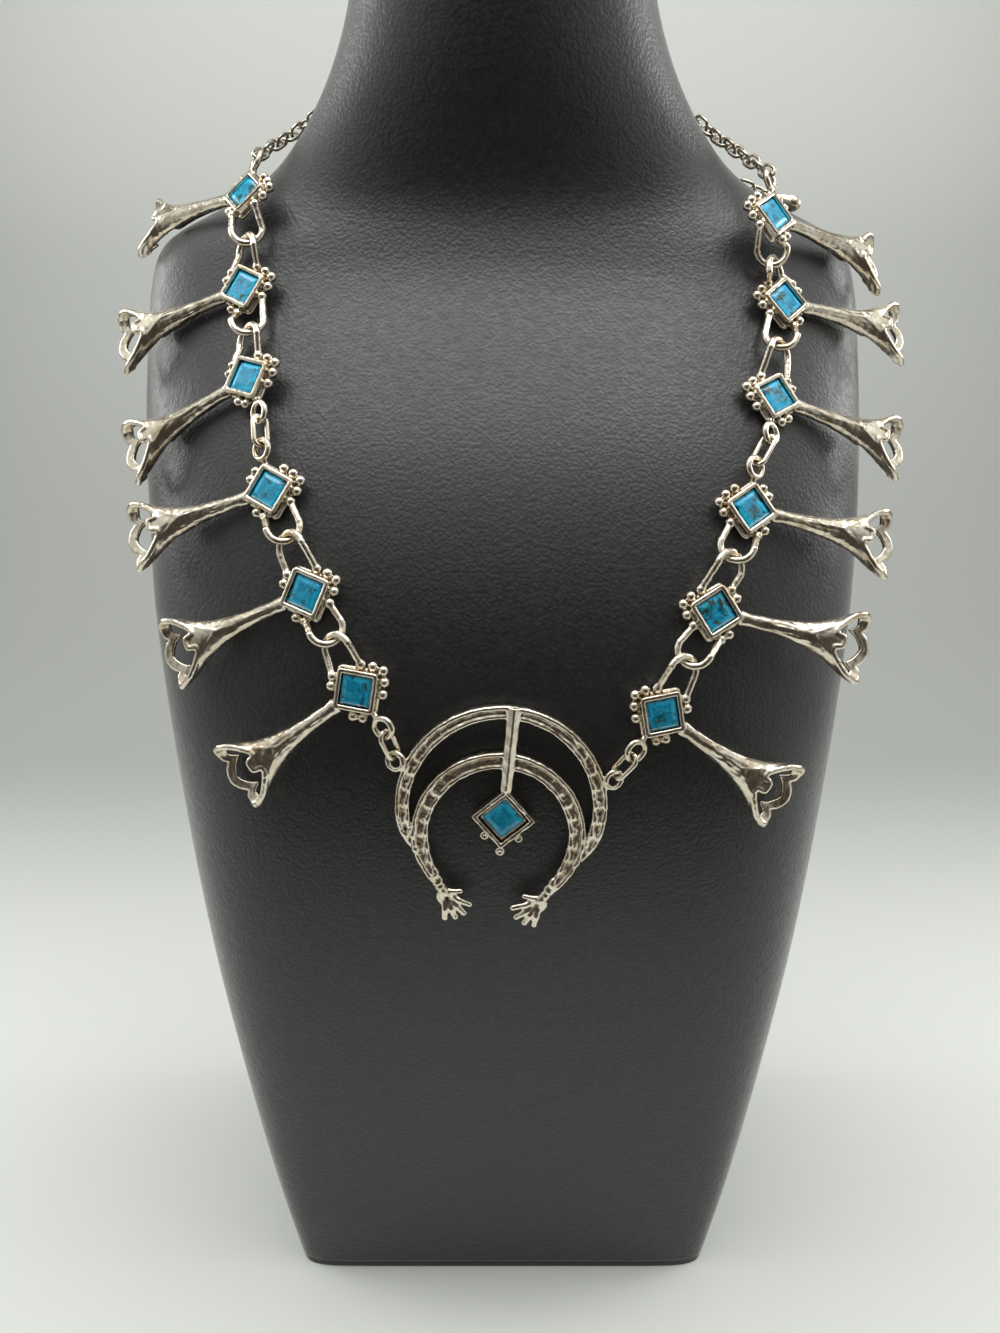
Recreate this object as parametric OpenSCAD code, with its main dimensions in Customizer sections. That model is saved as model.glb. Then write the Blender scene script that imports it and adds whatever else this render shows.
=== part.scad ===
// Squash blossom necklace on its neck bust. Millimetres, +Z up, the bust faces -Y and
// stands on Z = 0 with the middle of its base at the origin.
//
// The necklace hangs in two strands of six cast blossom stations. Each station is found
// by the place of its stone on the bust, and is lifted until it lies just clear of the
// skin. Neighbours hold each other loop in loop, or by an oval link through two rings.

/* [Bust] */
// Height of the bust
bust_h = 390; // [385:1:400]
// Width across the shoulders
bust_w = 209; // [206:1:214]
// Thickness of the board under the base
board_t = 3; // [2:0.5:4]

/* [Station heads] */
// Outer side of a square bezel
bezel_side = 10.2; // [10:0.1:10.6]
// Thickness of the bezel's wall
bezel_wall = 1; // [0.9:0.05:1.2]
// Height of the bezel above the back of the head
bezel_h = 3.2; // [3:0.1:3.6]
// Width of the flange round the bezel
flange_w = 0.6; // [0.5:0.1:0.9]
// Thickness of the flange
flange_t = 1.1; // [1:0.1:1.2]
// Diameter of a granule
granule_d = 2.5; // [2.4:0.1:2.6]
// Clearance between the lowest point of a piece and the bust
seat_gap = 0.5; // [0.4:0.05:0.7]

/* [Stones] */
// Clearance round a stone in its bezel
stone_gap = 0.3; // [0.2:0.05:0.4]
// Depth of a stone's table below the bezel's rim
table_drop = 0.3; // [0.2:0.05:0.5]

/* [Loops and links] */
// Wire of the loops cast on a head
loop_wire = 1.7; // [1.6:0.05:1.8]
// Radius of a loop's round end, to the middle of its wire
loop_r = 4.2; // [4.1:0.05:4.4]
// Tilt of a loop about the strand
loop_tilt = 25; // [24:1:27]
// Outer diameter of a ring soldered to a head
ring_d = 6.5; // [6.3:0.1:6.8]
// Wire of a soldered ring
ring_wire = 1.45; // [1.4:0.05:1.5]
// Wire of an oval link
oval_wire = 1.3; // [1.2:0.05:1.35]
// Outer width of an oval link
oval_w = 5; // [4.9:0.1:5.2]

/* [Naja] */
// Outer radius of the outer crescent
crescent_r = 26.9; // [26.5:0.1:27.5]
// Width of the outer crescent
crescent_w = 3.9; // [3.7:0.1:4.2]
// Thickness of the casting at its rims
naja_t = 2.6; // [2.4:0.1:3]
// Side of the square frame round the middle stone
frame_side = 11.2; // [11:0.1:11.6]

/* [Chain] */
// Length of a chain link, outside
link_l = 6.2; // [6:0.1:6.4]
// Width of a chain link, outside
link_w = 4.5; // [4.4:0.1:4.7]
// Wire of a chain link
link_wire = 1; // [0.9:0.05:1]
// Height at which the chain goes round the neck
neck_z = 338; // [335:1:342]
// Place of the clasp round the neck, 90 at the middle of the back
clasp_turn = 62; // [55:1:75]
// Length of the clasp, outside
clasp_l = 11.4; // [11:0.1:13]
// Wire of the clasp
clasp_wire = 0.9; // [0.85:0.05:0.95]

/* [Hidden] */
$fn = 32;

LEATHER = [0.13, 0.13, 0.13];
SILVER = [0.72, 0.69, 0.62];
TURQUOISE = [0.08, 0.52, 0.62];

// Sections of the bust: height, half width, line of the sides, front, back, squareness
SECTIONS = [
    [0,   64.5, -4,   -50, 46, 14],
    [50,  76,   -4,   -54, 47, 7],
    [105, 85.5, -2,   -58, 49, 5],
    [165, 94,   4,    -60, 52, 3.6],
    [210, 101,  14,   -52, 55, 2.9],
    [245, 104,  24,   -35, 57, 2.6],
    [275, 104.5, 33,  -12, 59, 2.4],
    [293, 103,  37,   2,   60, 2.3],
    [304, 98,   39,   8,   61, 2.2],
    [312, 82,   39.5, 11,  62, 2.1],
    [320, 68,   40,   12,  63, 2.1],
    [332, 57.5, 41,   11,  66, 2],
    [348, 48.5, 43,   9,   70, 2],
    [370, 41.5, 45,   9,   76, 2],
    [390, 41,   48,   11,  80, 2]];

// Stations from the top down: sideways place of the stone, its height, how far the
// blossom hangs below the level, and how far it falls back
LEFT = [
    [-67,   311.5, 12, 30],
    [-68.5, 290, 21, 10],
    [-65,   268,   30, 5],
    [-58.5, 243.5, 19, 6],
    [-48.5, 221,   25, 3],
    [-35.5, 199.5, 37, 0]];
RIGHT = [
    [68.5, 305.5, 18, 24],
    [75,   286.8, 13, 18],
    [70.5, 264, 21, 9],
    [62,   239,   15, 8],
    [52.5, 216.5, 15, 3],
    [39,   193.5, 36, 0]];

// Heights at which the bust's skin is drawn
SKIN_Z = [board_t - 0.5, 25, 50, 75, 105, 135, 165, 185, 205, 222, 240, 255, 268, 280, 290,
    297, 302, 306, 310, 314, 318, 323, 329, 336, 345, 356, 370, 390];
skin_sides = 36;

// Blossom from the head's middle outwards: distance, half width, half depth, middle height
HORN = [
    [6.3,  1.9, 1.25, 1.7],
    [9,    1.6, 1.4,  1.8],
    [15,   1.8, 1.6,  1.85],
    [20,   2.3, 1.95, 1.8],
    [24,   3.0, 2.35, 1.7],
    [27,   3.8, 2.7,  1.6],
    [30,   4.9, 3.05, 1.5],
    [33,   6.5, 3.3,  1.4],
    [36,   8.2, 3.5,  1.3],
    [39,   9.0, 3.6,  1.2],
    [43,   9.3, 3.6,  1.2]];
horn_sides = 12;
horn_end = 27;
petal_start = 25.2;
petal_t = 0.9;
mouth_square = 0.9;
// Rim of the flower, from the front tooth round a lobe to the back tooth: angle round
// the mouth, distance of the inner edge of the rim band, distance of its outer edge
PETALS = [
    [90,  31.8, 33.8],
    [75,  29.8, 31.5],
    [60,  30.4, 31.6],
    [45,  31.6, 33],
    [30,  33.2, 34.8],
    [15,  35.2, 37.4],
    [0,   36.4, 39.6],
    [-15, 37.4, 41],
    [-30, 38.2, 41.4],
    [-45, 38.5, 41.2],
    [-60, 38.2, 40.9],
    [-75, 38.8, 41.5],
    [-90, 40.6, 43.2]];
petal_rows = 4;

// Points on the back of a station that may touch the bust
SEAT = [[0, 0, 0], [8.6, 0, 0.3], [-8.9, 0, 0.2], [0, 8.6, 0], [0, -8.6, 0],
    [-5, 5, 0.1], [-5, -5, 0.1], [15, 0, 0.2], [24, 0, -0.7], [31, 0, -1.8],
    [38, 8, -0.6], [38, -8, -0.6], [38, 5, -2.1], [38, -5, -2.1], [42, 0, -2.5]];

// Named sizes of a head
half_diag = bezel_side / sqrt(2);
pocket = bezel_side - 2 * bezel_wall;
granule_out = bezel_side / 2 + 1.5;
granule_n = 1.35;
loop_gap = 0.2;
loop_cross = loop_r - (loop_wire + loop_gap) / 2;
loop_shift = -1;
loop_height = 4.3;
ring_r = (ring_d - ring_wire) / 2;
ring_place = half_diag + 0.85 + ring_d / 2;
ring_height = 2;
ring_tilt = 24;
oval_tilt = 50;
oval_r = (oval_w - oval_wire) / 2;
link_gap = 0.18;

// Named sizes of the naja, measured from the middle of its outer crescent
naja_x = -0.5;
naja_z = 170;
naja_roll = 5.3;
inner_y = -7.6;
inner_r = 22.2;
inner_w = 4.7;
inner_end = 44;
drop_x = 0.8;
drop_y = -2.95;
side_ring_r = 2.2;
side_ring_wire = 1.3;
side_ring_place = [27.5, 9.8, 1.6];
NAJA_SEAT = [[0, 26, 0], [0, 10, 0], [26, 0, 0], [-26, 0, 0], [20, -16, 0], [-20, -16, 0],
    [0, -8, 0], [8, -33, 0.2], [-8, -33, 0.2], [12, -26, 0], [-12, -26, 0]];
palm = [11.7, -26.7, 1.5];
// Fingers of the right hand: root across, root up, tip across, tip up
FINGERS = [
    [12.6, -24.9, 8.3, -24.9],
    [11.2, -26.5, 5.1, -28.8],
    [11.3, -27.2, 6.1, -31.6],
    [11.5, -27.6, 8.5, -33.2],
    [11.8, -27.6, 11.3, -33.6]];

// Named sizes of the chain
link_half = (link_l - link_wire) / 2;
link_r = (link_w - link_wire) / 2;
link_inside = link_l / 2 - link_wire;
link_pitch = link_l - 2 * link_wire - 0.2;
chain_lift = 2.45;
left_turn = 66;
right_turn = 116;
extender_turn = 63;
clasp_half = (clasp_l - clasp_wire) / 2;
clasp_r = 2.6;
clasp_eye = [-3, -4.5];
clasp_eye_r = 2;
drop_length = 9.4;
drop_width = 4.8;
drop_eye_r = 1.5;
drop_wire = 0.9;
// Way of the extender over the shoulder: angle round the bust, height
EXTENDER_WAY = [[46, 329], [37, 326], [28, 322.3], [20, 318.4], [13, 315.2]];
// Outline of the drop: distance along it and radius, as fractions of length and width
DROP = [[0, 0.2], [0.15, 0.24], [0.3, 0.32], [0.45, 0.41], [0.6, 0.48], [0.72, 0.5],
    [0.84, 0.45], [0.93, 0.33], [0.98, 0.18], [1, 0]];

// Vectors
function unit(v) = v / norm(v);
function flat(v, d) = unit(v - (v * d) * d);
function columns(x, y, z, p) = [
    [x[0], y[0], z[0], p[0]], [x[1], y[1], z[1], p[1]], [x[2], y[2], z[2], p[2]]];
function in_frame(f, p) = f[0] + p[0] * f[1] + p[1] * f[2] + p[2] * f[3];

// Smooth reading of the section table
z_scale = bust_h / 390;
x_scale = bust_w / 209;
function knot(i) = let (s = SECTIONS[i]) [s[0] * z_scale, s[1] * x_scale, s[2], s[3], s[4], s[5]];
function knot_slope(i) =
    let (a = max(i - 1, 0), b = min(i + 1, len(SECTIONS) - 1))
    (knot(b) - knot(a)) / (knot(b)[0] - knot(a)[0]);
function blend(p, mp, q, mq, t) =
    (2 * t ^ 3 - 3 * t ^ 2 + 1) * p + (t ^ 3 - 2 * t ^ 2 + t) * mp
    + (3 * t ^ 2 - 2 * t ^ 3) * q + (t ^ 3 - t ^ 2) * mq;
function section(z, i = 0) =
    i < len(SECTIONS) - 2 && z >= knot(i + 1)[0]
    ? section(z, i + 1)
    : let (h = knot(i + 1)[0] - knot(i)[0])
      blend(knot(i), knot_slope(i) * h, knot(i + 1), knot_slope(i + 1) * h, (z - knot(i)[0]) / h);

// Skin of the bust by angle and height, angle 90 at the back
function corner(t, n) = sign(t) * pow(abs(t), 2 / n);
function skin(a, z) =
    let (s = section(z))
    [s[1] * corner(cos(a), s[5]),
     s[2] + (sin(a) > 0 ? s[4] - s[2] : s[2] - s[3]) * corner(sin(a), s[5]), z];
function skin_out(a, z) =
    unit(cross(skin(a + 0.5, z) - skin(a - 0.5, z), skin(a, z + 0.5) - skin(a, z - 0.5)));

// Front of the bust by sideways place and height
function chest(x, z) =
    let (s = section(z), q = min(abs(x) / s[1], 0.999))
    [x, s[2] - (s[2] - s[3]) * pow(1 - pow(q, s[5]), 1 / s[5]), z];
function chest_out(x, z) =
    unit(cross(chest(x + 0.5, z) - chest(x - 0.5, z), chest(x, z + 0.5) - chest(x, z - 0.5)));
// Distance of a point from the skin, positive outside, good near the skin
function swell(p) =
    let (s = section(p[2]), y = p[1] - s[2], r = y > 0 ? s[4] - s[2] : s[2] - s[3])
    pow(pow(abs(p[0]) / s[1], s[5]) + pow(abs(y) / r, s[5]), 1 / s[5]) - 1;
function above_skin(p) =
    let (e = 0.2, x = [e, 0, 0], y = [0, e, 0], z = [0, 0, e],
         slope = [swell(p + x) - swell(p - x), swell(p + y) - swell(p - y), swell(p + z) - swell(p - z)])
    swell(p) * 2 * e / norm(slope);

// A frame is a place and three directions: along, across and out from the bust
function lifted(f, seat, gap) =
    let (low = min([for (p = seat) above_skin(in_frame(f, p))]))
    [f[0] + (gap - low) * f[3], f[1], f[2], f[3]];
function station(side, i) =
    let (s = (side < 0 ? LEFT : RIGHT)[i],
         u = [side * cos(s[2]) * cos(s[3]), cos(s[2]) * sin(s[3]), -sin(s[2])],
         n = flat(chest_out(s[0] * x_scale, s[1] * z_scale), u))
    lifted([chest(s[0] * x_scale, s[1] * z_scale), u, cross(n, u), n], SEAT, seat_gap);
function naja_frame() =
    let (n = chest_out(0, naja_z * z_scale),
         up = flat([0, 0, 1], n),
         across = cross(up, n),
         x = cos(naja_roll) * across - sin(naja_roll) * up,
         y = sin(naja_roll) * across + cos(naja_roll) * up)
    lifted([chest(naja_x, naja_z * z_scale), x, y, n], NAJA_SEAT, seat_gap);

// Meeting of two loops: its middle, up the strand, outwards, and out from the bust
function meeting(side, i) =
    let (a = station(side, i), b = station(side, i + 1),
         d = unit(a[0] - b[0]),
         n = flat(a[3] + b[3], d),
         e = side * cross(d, n),
         m = (a[0] + b[0]) / 2 + loop_shift * e)
    [m + (loop_height - above_skin(m)) * n, d, e, n];

// Middle of the soldered ring above or below a head, and of a ring of the naja
function ring_middle(side, i, up) =
    in_frame(station(side, i), [0, side * up * ring_place, ring_height]);
function side_ring(side) =
    in_frame(naja_frame(),
             [side * side_ring_place[0], side_ring_place[1], side_ring_place[2]]);

module place(f) multmatrix(columns(f[1], f[2], f[3], f[0])) children();

// Round bar between two points, which can taper to a second diameter
module rod(a, b, d, end_d = 0) {
    z = unit(b - a);
    x = flat(abs(z[2]) < 0.9 ? [0, 0, 1] : [1, 0, 0], z);
    multmatrix(columns(x, cross(z, x), z, a))
        cylinder(d1 = d, d2 = end_d > 0 ? end_d : d, h = norm(b - a));
}

module ring(r, wire) rotate_extrude() translate([r, 0]) circle(d = wire);

// Link in its own plane, long way along X
module link(half, r, wire) {
    for (s = [-1, 1]) {
        translate([s * (half - r), 0, 0])
            rotate([0, 0, -s * 90]) rotate_extrude(angle = 180) translate([r, 0]) circle(d = wire);
        translate([r - half, s * r, 0]) rotate([0, 90, 0]) cylinder(d = wire, h = 2 * (half - r));
    }
}

// Link laid between two points, turned about the line between them
module link_between(a, b, out, tilt, r, wire) {
    d = unit(b - a);
    n = flat(out, d);
    e = cross(n, d);
    multmatrix(columns(d, cos(tilt) * e + sin(tilt) * n, cos(tilt) * n - sin(tilt) * e, (a + b) / 2))
        link(round(norm(b - a) * 50) / 100, r, wire);
}

module neck_bust() {
    m = skin_sides;
    rings = [for (z = SKIN_Z) [for (k = [0:m - 1]) skin((k + 0.5) * 360 / m, z * z_scale)]];
    last = len(rings) - 1;
    points = [for (r = rings) each r];
    faces = concat(
        [[for (k = [0:m - 1]) k]],
        [[for (k = [m - 1:-1:0]) last * m + k]],
        [for (r = [0:last - 1], k = [0:m - 1])
            let (j = (k + 1) % m) [r * m + k, (r + 1) * m + k, (r + 1) * m + j, r * m + j]]);
    base = [for (k = [0:m - 1]) let (p = skin((k + 0.5) * 360 / m, 0)) [p[0], p[1]]];
    color(LEATHER) {
        polyhedron(points, faces);
        linear_extrude(board_t) polygon(base);
    }
}

// Square with rounded corners, standing on a corner
module diamond(side, r, h) {
    c = side / 2 - r;
    linear_extrude(h) rotate(45)
        polygon([for (q = [0:3], a = [0, 30, 60, 90])
            let (x = q == 0 || q == 3 ? c : -c, y = q < 2 ? c : -c)
            [x + r * cos(a + 90 * q), y + r * sin(a + 90 * q)]]);
}

module bezel(side, wall, h) {
    difference() {
        diamond(side, 1, h);
        translate([0, 0, flange_t]) diamond(side - 2 * wall, 0.2, h);
    }
}

// Step-cut square stone with a table and two rows of facets
module cut_stone(side, low, high) {
    STEPS = [[low, 1], [high - 0.65, 1], [high - 0.22, 0.83], [high, 0.58]];
    points = [for (s = STEPS, q = [0:3])
        let (a = q * 90, r = side / sqrt(2) * s[1]) [r * cos(a), r * sin(a), s[0]]];
    faces = concat([[3, 2, 1, 0]], [[12, 13, 14, 15]],
        [for (s = [0:2], q = [0:3]) let (j = (q + 1) % 4)
            [4 * s + q, 4 * s + j, 4 * s + 4 + j, 4 * s + 4 + q]]);
    polyhedron(points, [for (f = faces) [for (k = [len(f) - 1:-1:0]) f[k]]]);
}

// Granules: one on the inner corner, two along each side next to it, measured from that
// corner, and two along each side beyond, measured from the side corners
module granules() {
    s = bezel_side / 2;
    translate([-half_diag - 1.25, 0, granule_n]) sphere(d = granule_d);
    rotate(45) for (m = [0, 1]) mirror([m, m, 0]) {
        for (a = [1.9, 5]) translate([a - s, granule_out, granule_n]) sphere(d = granule_d);
        for (a = [2.7, 5.2]) translate([granule_out, s - a, granule_n]) sphere(d = granule_d);
    }
}

// Ring of points round the horn at a distance, with a measure taken off all round. The
// mouth is squarer than the tube, which makes the lobes round.
function horn_at(u, i = 0) =
    i < len(HORN) - 2 && u > HORN[i + 1][0]
    ? horn_at(u, i + 1)
    : let (t = (u - HORN[i][0]) / (HORN[i + 1][0] - HORN[i][0]))
      (1 - t) * HORN[i] + t * HORN[i + 1];
function horn_point(u, a, less) =
    let (h = horn_at(u), q = 2 + mouth_square * min(max((u - 27) / 9, 0), 1))
    [u, (h[1] - less) * corner(cos(a), q), h[3] + (h[2] - less) * corner(sin(a), q)];

module horn() {
    us = [for (h = HORN) if (h[0] <= horn_end) h[0]];
    m = horn_sides;
    points = [for (u = us, k = [0:m - 1]) horn_point(u, k * 360 / m, 0)];
    last = len(us) - 1;
    polyhedron(points, concat(
        [[for (k = [0:m - 1]) k]],
        [[for (k = [m - 1:-1:0]) last * m + k]],
        [for (r = [0:last - 1], k = [0:m - 1]) let (j = (k + 1) % m)
            [r * m + k, (r + 1) * m + k, (r + 1) * m + j, r * m + j]]));
}

// Flower: a shell over the front half and a band round the lobes and the open back
module flower() {
    half = len(PETALS) - 1;
    m = 2 * half;
    function petal(k) = PETALS[k <= half ? k : m - k];
    function turn(k) = k <= half ? petal(k)[0] : 180 - petal(k)[0];
    function row_u(k, r) =
        r == petal_rows ? petal(k)[2]
        : petal_start + (petal(k)[1] - petal_start) * r / (petal_rows - 1);
    function is_front(k) = k < half / 2 || k >= m - half / 2;
    function sunk(r) = r == 0 ? 0.55 : 0;
    n = petal_rows + 1;
    points = concat(
        [for (k = [0:m - 1], r = [0:n - 1]) horn_point(row_u(k, r), turn(k), sunk(r))],
        [for (k = [0:m - 1], r = [0:n - 1]) horn_point(row_u(k, r), turn(k), sunk(r) + petal_t)]);
    far = m * n;
    cells = [for (k = [0:m - 1], r = [0:petal_rows - 1]) if (is_front(k) || r == petal_rows - 1) [k, r]];
    function at(k, r) = ((k + m) % m) * n + r;
    outer = [for (c = cells)
        [at(c[0], c[1]), at(c[0], c[1] + 1), at(c[0] + 1, c[1] + 1), at(c[0] + 1, c[1])]];
    inner = [for (f = outer) [for (q = [3:-1:0]) far + f[q]]];
    function wall(a, b) = [a, b, far + b, far + a];
    rim = [for (k = [0:m - 1]) wall(at(k + 1, petal_rows), at(k, petal_rows))];
    throat = [for (k = [0:m - 1]) if (is_front(k)) wall(at(k, 0), at(k + 1, 0))];
    gap = [for (k = [0:m - 1]) if (!is_front(k)) wall(at(k, petal_rows - 1), at(k + 1, petal_rows - 1))];
    sides = [for (r = [0:petal_rows - 2]) each [
        wall(at(half / 2, r), at(half / 2, r + 1)),
        wall(at(m - half / 2, r + 1), at(m - half / 2, r))]];
    polyhedron(points, [for (f = concat(outer, inner, rim, throat, gap, sides))
        [for (q = [3:-1:0]) f[q]]]);
}

// Roots of the two loops on a head, in the head's own frame
function loop_root(way, v) = way > 0
    ? [half_diag - 4.25, v * 6.6, granule_n]
    : [-half_diag + 2.45, v * 4.9, granule_n];

// Half of a pair of interlocking loops: the half that grows from one head
module cast_loop(side, i, down) {
    head = station(side, i);
    m = meeting(side, down ? i : i - 1);
    reach = down ? -m[1] : m[1];
    tilt = down ? loop_tilt : -loop_tilt;
    across = cos(tilt) * m[2] + sin(tilt) * m[3];
    middle = m[0] - loop_cross * reach;
    multmatrix(columns(across, reach, cross(across, reach), middle))
        rotate_extrude(angle = 180) translate([loop_r, 0]) circle(d = loop_wire);
    for (way = [-1, 1]) {
        tip = middle + way * loop_r * across;
        rod(tip, in_frame(head, loop_root(way, side * (down ? -1 : 1))), loop_wire - 0.04);
        translate(tip) sphere(d = loop_wire + 0.1);
    }
}

// Ring soldered above or below a head, with the neck that joins it
module soldered_ring(side, up) {
    v = side * up;
    translate([0, v * ring_place, ring_height]) rotate([0, ring_tilt, 0]) ring(ring_r, ring_wire);
    rod([0, v * (half_diag - 0.5), 1.2], [0, v * (ring_place - ring_r), ring_height], ring_wire);
}

module blossom(side, i) {
    color(SILVER) union() {
        place(station(side, i)) {
            diamond(bezel_side + 2 * flange_w, 1.2, flange_t);
            bezel(bezel_side, bezel_wall, bezel_h);
            granules();
            horn();
            flower();
            if (i == 0 || i == 3) soldered_ring(side, 1);
            if (i == 2 || i == 5) soldered_ring(side, -1);
        }
        if (i != 0 && i != 3) cast_loop(side, i, false);
        if (i != 2 && i != 5) cast_loop(side, i, true);
    }
}

module stone(side, i) {
    color(TURQUOISE) place(station(side, i))
        cut_stone(pocket - 2 * stone_gap, flange_t + stone_gap, bezel_h - table_drop);
}

// Normals of a soldered ring's plane and of a naja ring's plane
function ring_normal(side, i) =
    let (f = station(side, i)) cos(ring_tilt) * f[3] + sin(ring_tilt) * f[1];
function side_ring_normal(side) =
    let (f = naja_frame()) cos(ring_tilt) * f[3] + side * sin(ring_tilt) * f[1];

// Oval link between two rings, each given by its middle, normal, radius and wire
module oval_link(side, a, b, out) {
    hold_a = a[0] + a[2] * flat(b[0] - a[0], a[1]);
    hold_b = b[0] + b[2] * flat(a[0] - b[0], b[1]);
    d = unit(hold_b - hold_a);
    start = hold_a - ((a[3] + oval_wire) / 2 + link_gap) * d;
    end = hold_b + ((b[3] + oval_wire) / 2 + link_gap) * d;
    color(SILVER) link_between(start, end, out, side * oval_tilt, oval_r, oval_wire);
}

module strand_link(side) {
    oval_link(side, [ring_middle(side, 2, -1), ring_normal(side, 2), ring_r, ring_wire],
              [ring_middle(side, 3, 1), ring_normal(side, 3), ring_r, ring_wire],
              station(side, 2)[3] + station(side, 3)[3]);
}

module naja_link(side) {
    oval_link(side, [ring_middle(side, 5, -1), ring_normal(side, 5), ring_r, ring_wire],
              [side_ring(side), side_ring_normal(side), side_ring_r, side_ring_wire],
              station(side, 5)[3] + naja_frame()[3]);
}

// Band bent to a part of a circle, open at the bottom, with raised rims
module crescent(r, w, t, open) {
    groove = 0.7;
    rim = 0.7;
    rotate([0, 0, open - 90]) rotate_extrude(angle = 360 - 2 * open)
        polygon([[r - w, 0], [r, 0], [r, t], [r - rim, t], [r - rim - 0.4, t - groove],
                 [r - w + rim + 0.4, t - groove], [r - w + rim, t], [r - w, t]]);
}

module hand() {
    rod([14.6, -21.4, 1.4], palm, 2.3, 2.7);
    translate(palm) sphere(d = 3.2);
    for (f = FINGERS) {
        rod([f[0], f[1], 1.3], [f[2], f[3], 1.3], 1.4);
        translate([f[2], f[3], 1.3]) sphere(d = 1.55);
    }
}

module naja() {
    bar_top = crescent_r - 1;
    bar_low = drop_y + frame_side / sqrt(2) - 1;
    color(SILVER) place(naja_frame()) {
        crescent(crescent_r, crescent_w, naja_t, 55);
        translate([0, inner_y, 0]) crescent(inner_r, inner_w, naja_t + 0.25, inner_end);
        for (m = [0, 1]) mirror([m, 0, 0]) {
            hand();
            translate([side_ring_place[0], side_ring_place[1], side_ring_place[2]])
                rotate([0, ring_tilt, 0]) ring(side_ring_r, side_ring_wire);
        }
        translate([drop_x - 1.75, bar_low, 0.9]) cube([3.5, bar_top - bar_low, naja_t + 0.2]);
        translate([drop_x, drop_y, 0]) {
            difference() {
                diamond(frame_side, 0.8, 2.2);
                translate([0, 0, flange_t]) diamond(frame_side - 1.5, 0.5, 3);
            }
            bezel(pocket - 2 * stone_gap + 1.9, 0.8, bezel_h);
            for (p = [[0, -9.15], [-4.3, -5.05], [4.3, -5.05]]) {
                translate([p[0], p[1], 1.3]) sphere(d = 2.6);
                rod([p[0] * 0.8, p[1] * 0.8, 1], [p[0], p[1], 1.2], 1.1);
            }
        }
    }
}

module naja_stone() {
    f = naja_frame();
    color(TURQUOISE) place(f) translate([drop_x, drop_y, 0])
        cut_stone(pocket - 2 * stone_gap - 0.1, flange_t + stone_gap, bezel_h - table_drop);
}

// Point over the skin at an angle and a height, clear of it by the chain's lift
function over(a, z) = skin(a, z * z_scale) + chain_lift * skin_out(a, z * z_scale);

// Frame of the clasp: its middle, along the chain toward the left, up, and outwards
function clasp_frame() =
    let (p = over(clasp_turn, neck_z), n = skin_out(clasp_turn, neck_z * z_scale),
         d = flat(over(clasp_turn + 3, neck_z) - p, n))
    [p, d, cross(n, d), n];

// Middle of a chain's end link, hooked in an eye that lies in the plane of the normal n
function hooked(middle, n, r, wire, toward) =
    let (w = middle + r * flat(toward - middle, n))
    w + (link_inside - wire / 2 - link_gap) * unit(toward - w);

// Round the neck: the chain climbs to its level over the first knots
function round_neck(from, step, to) =
    [for (a = [from:step:to])
        let (k = abs(a - from) / abs(step)) over(a, neck_z - (k < 4 ? 0.45 * (4 - k) * (4 - k) : 0))];

// Knots of the ways of the three chains
function way_left() =
    let (last = in_frame(clasp_frame(), [clasp_half - clasp_r, 0, 0]),
         bend = round_neck(176, -6, clasp_turn + 16))
    concat([hooked(ring_middle(-1, 0, 1), ring_normal(-1, 0), ring_r, ring_wire, bend[0])], bend,
           [hooked(last, clasp_frame()[3], clasp_r, clasp_wire, bend[len(bend) - 1])]);
function way_right() =
    let (last = in_frame(clasp_frame(), [clasp_r - clasp_half, 0, 0]),
         bend = round_neck(4, 6, clasp_turn - 16))
    concat([hooked(ring_middle(1, 0, 1), ring_normal(1, 0), ring_r, ring_wire, bend[0])], bend,
           [hooked(last, clasp_frame()[3], clasp_r, clasp_wire, bend[len(bend) - 1])]);
function way_extender() =
    let (first = in_frame(clasp_frame(), [clasp_eye[0], clasp_eye[1], 0]),
         bend = [for (w = EXTENDER_WAY) over(w[0], w[1])])
    concat([hooked(first, clasp_frame()[3], clasp_eye_r, clasp_wire, bend[0])], bend);

// Length of a way up to a knot, and the point at a distance along it
function run(w, i) = i <= 0 ? 0 : run(w, i - 1) + norm(w[i] - w[i - 1]);
function along(w, s, i = 0) =
    let (l = norm(w[i + 1] - w[i]))
    i < len(w) - 2 && s > l ? along(w, s - l, i + 1) : w[i] + s / l * (w[i + 1] - w[i]);
function links_of(w) = 2 * ceil(run(w, len(w) - 1) / link_pitch / 2);
function spot(w, i) = along(w, i * run(w, len(w) - 1) / links_of(w));

// Direction from the skin at a point near it
function out_at(p) =
    let (s = section(p[2]), x = p[0], y = p[1] - s[2], r = y > 0 ? s[4] - s[2] : s[2] - s[3],
         a = atan2(sign(y) * pow(abs(y) / r, s[5] / 2), sign(x) * pow(abs(x) / s[1], s[5] / 2)))
    skin_out(a, p[2]);

module chain(w, turn) {
    n = links_of(w);
    for (i = [0:n]) {
        p = spot(w, i);
        d = unit(spot(w, min(i + 1, n)) - spot(w, max(i - 1, 0)));
        f = flat(out_at(p), d);
        e = cross(f, d);
        tilt = i % 2 == 0 ? turn : turn - 90;
        multmatrix(columns(d, cos(tilt) * e + sin(tilt) * f, cos(tilt) * f - sin(tilt) * e, p))
            link(link_half, link_r, link_wire);
    }
}

module clasp() {
    color(SILVER) place(clasp_frame()) {
        link(clasp_half, clasp_r, clasp_wire);
        translate([0, -clasp_r, 0]) rotate([-90, 0, 0]) cylinder(d = clasp_wire, h = 2 * clasp_r);
        translate([clasp_eye[0], clasp_eye[1], 0]) ring(clasp_eye_r, clasp_wire);
    }
}

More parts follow.
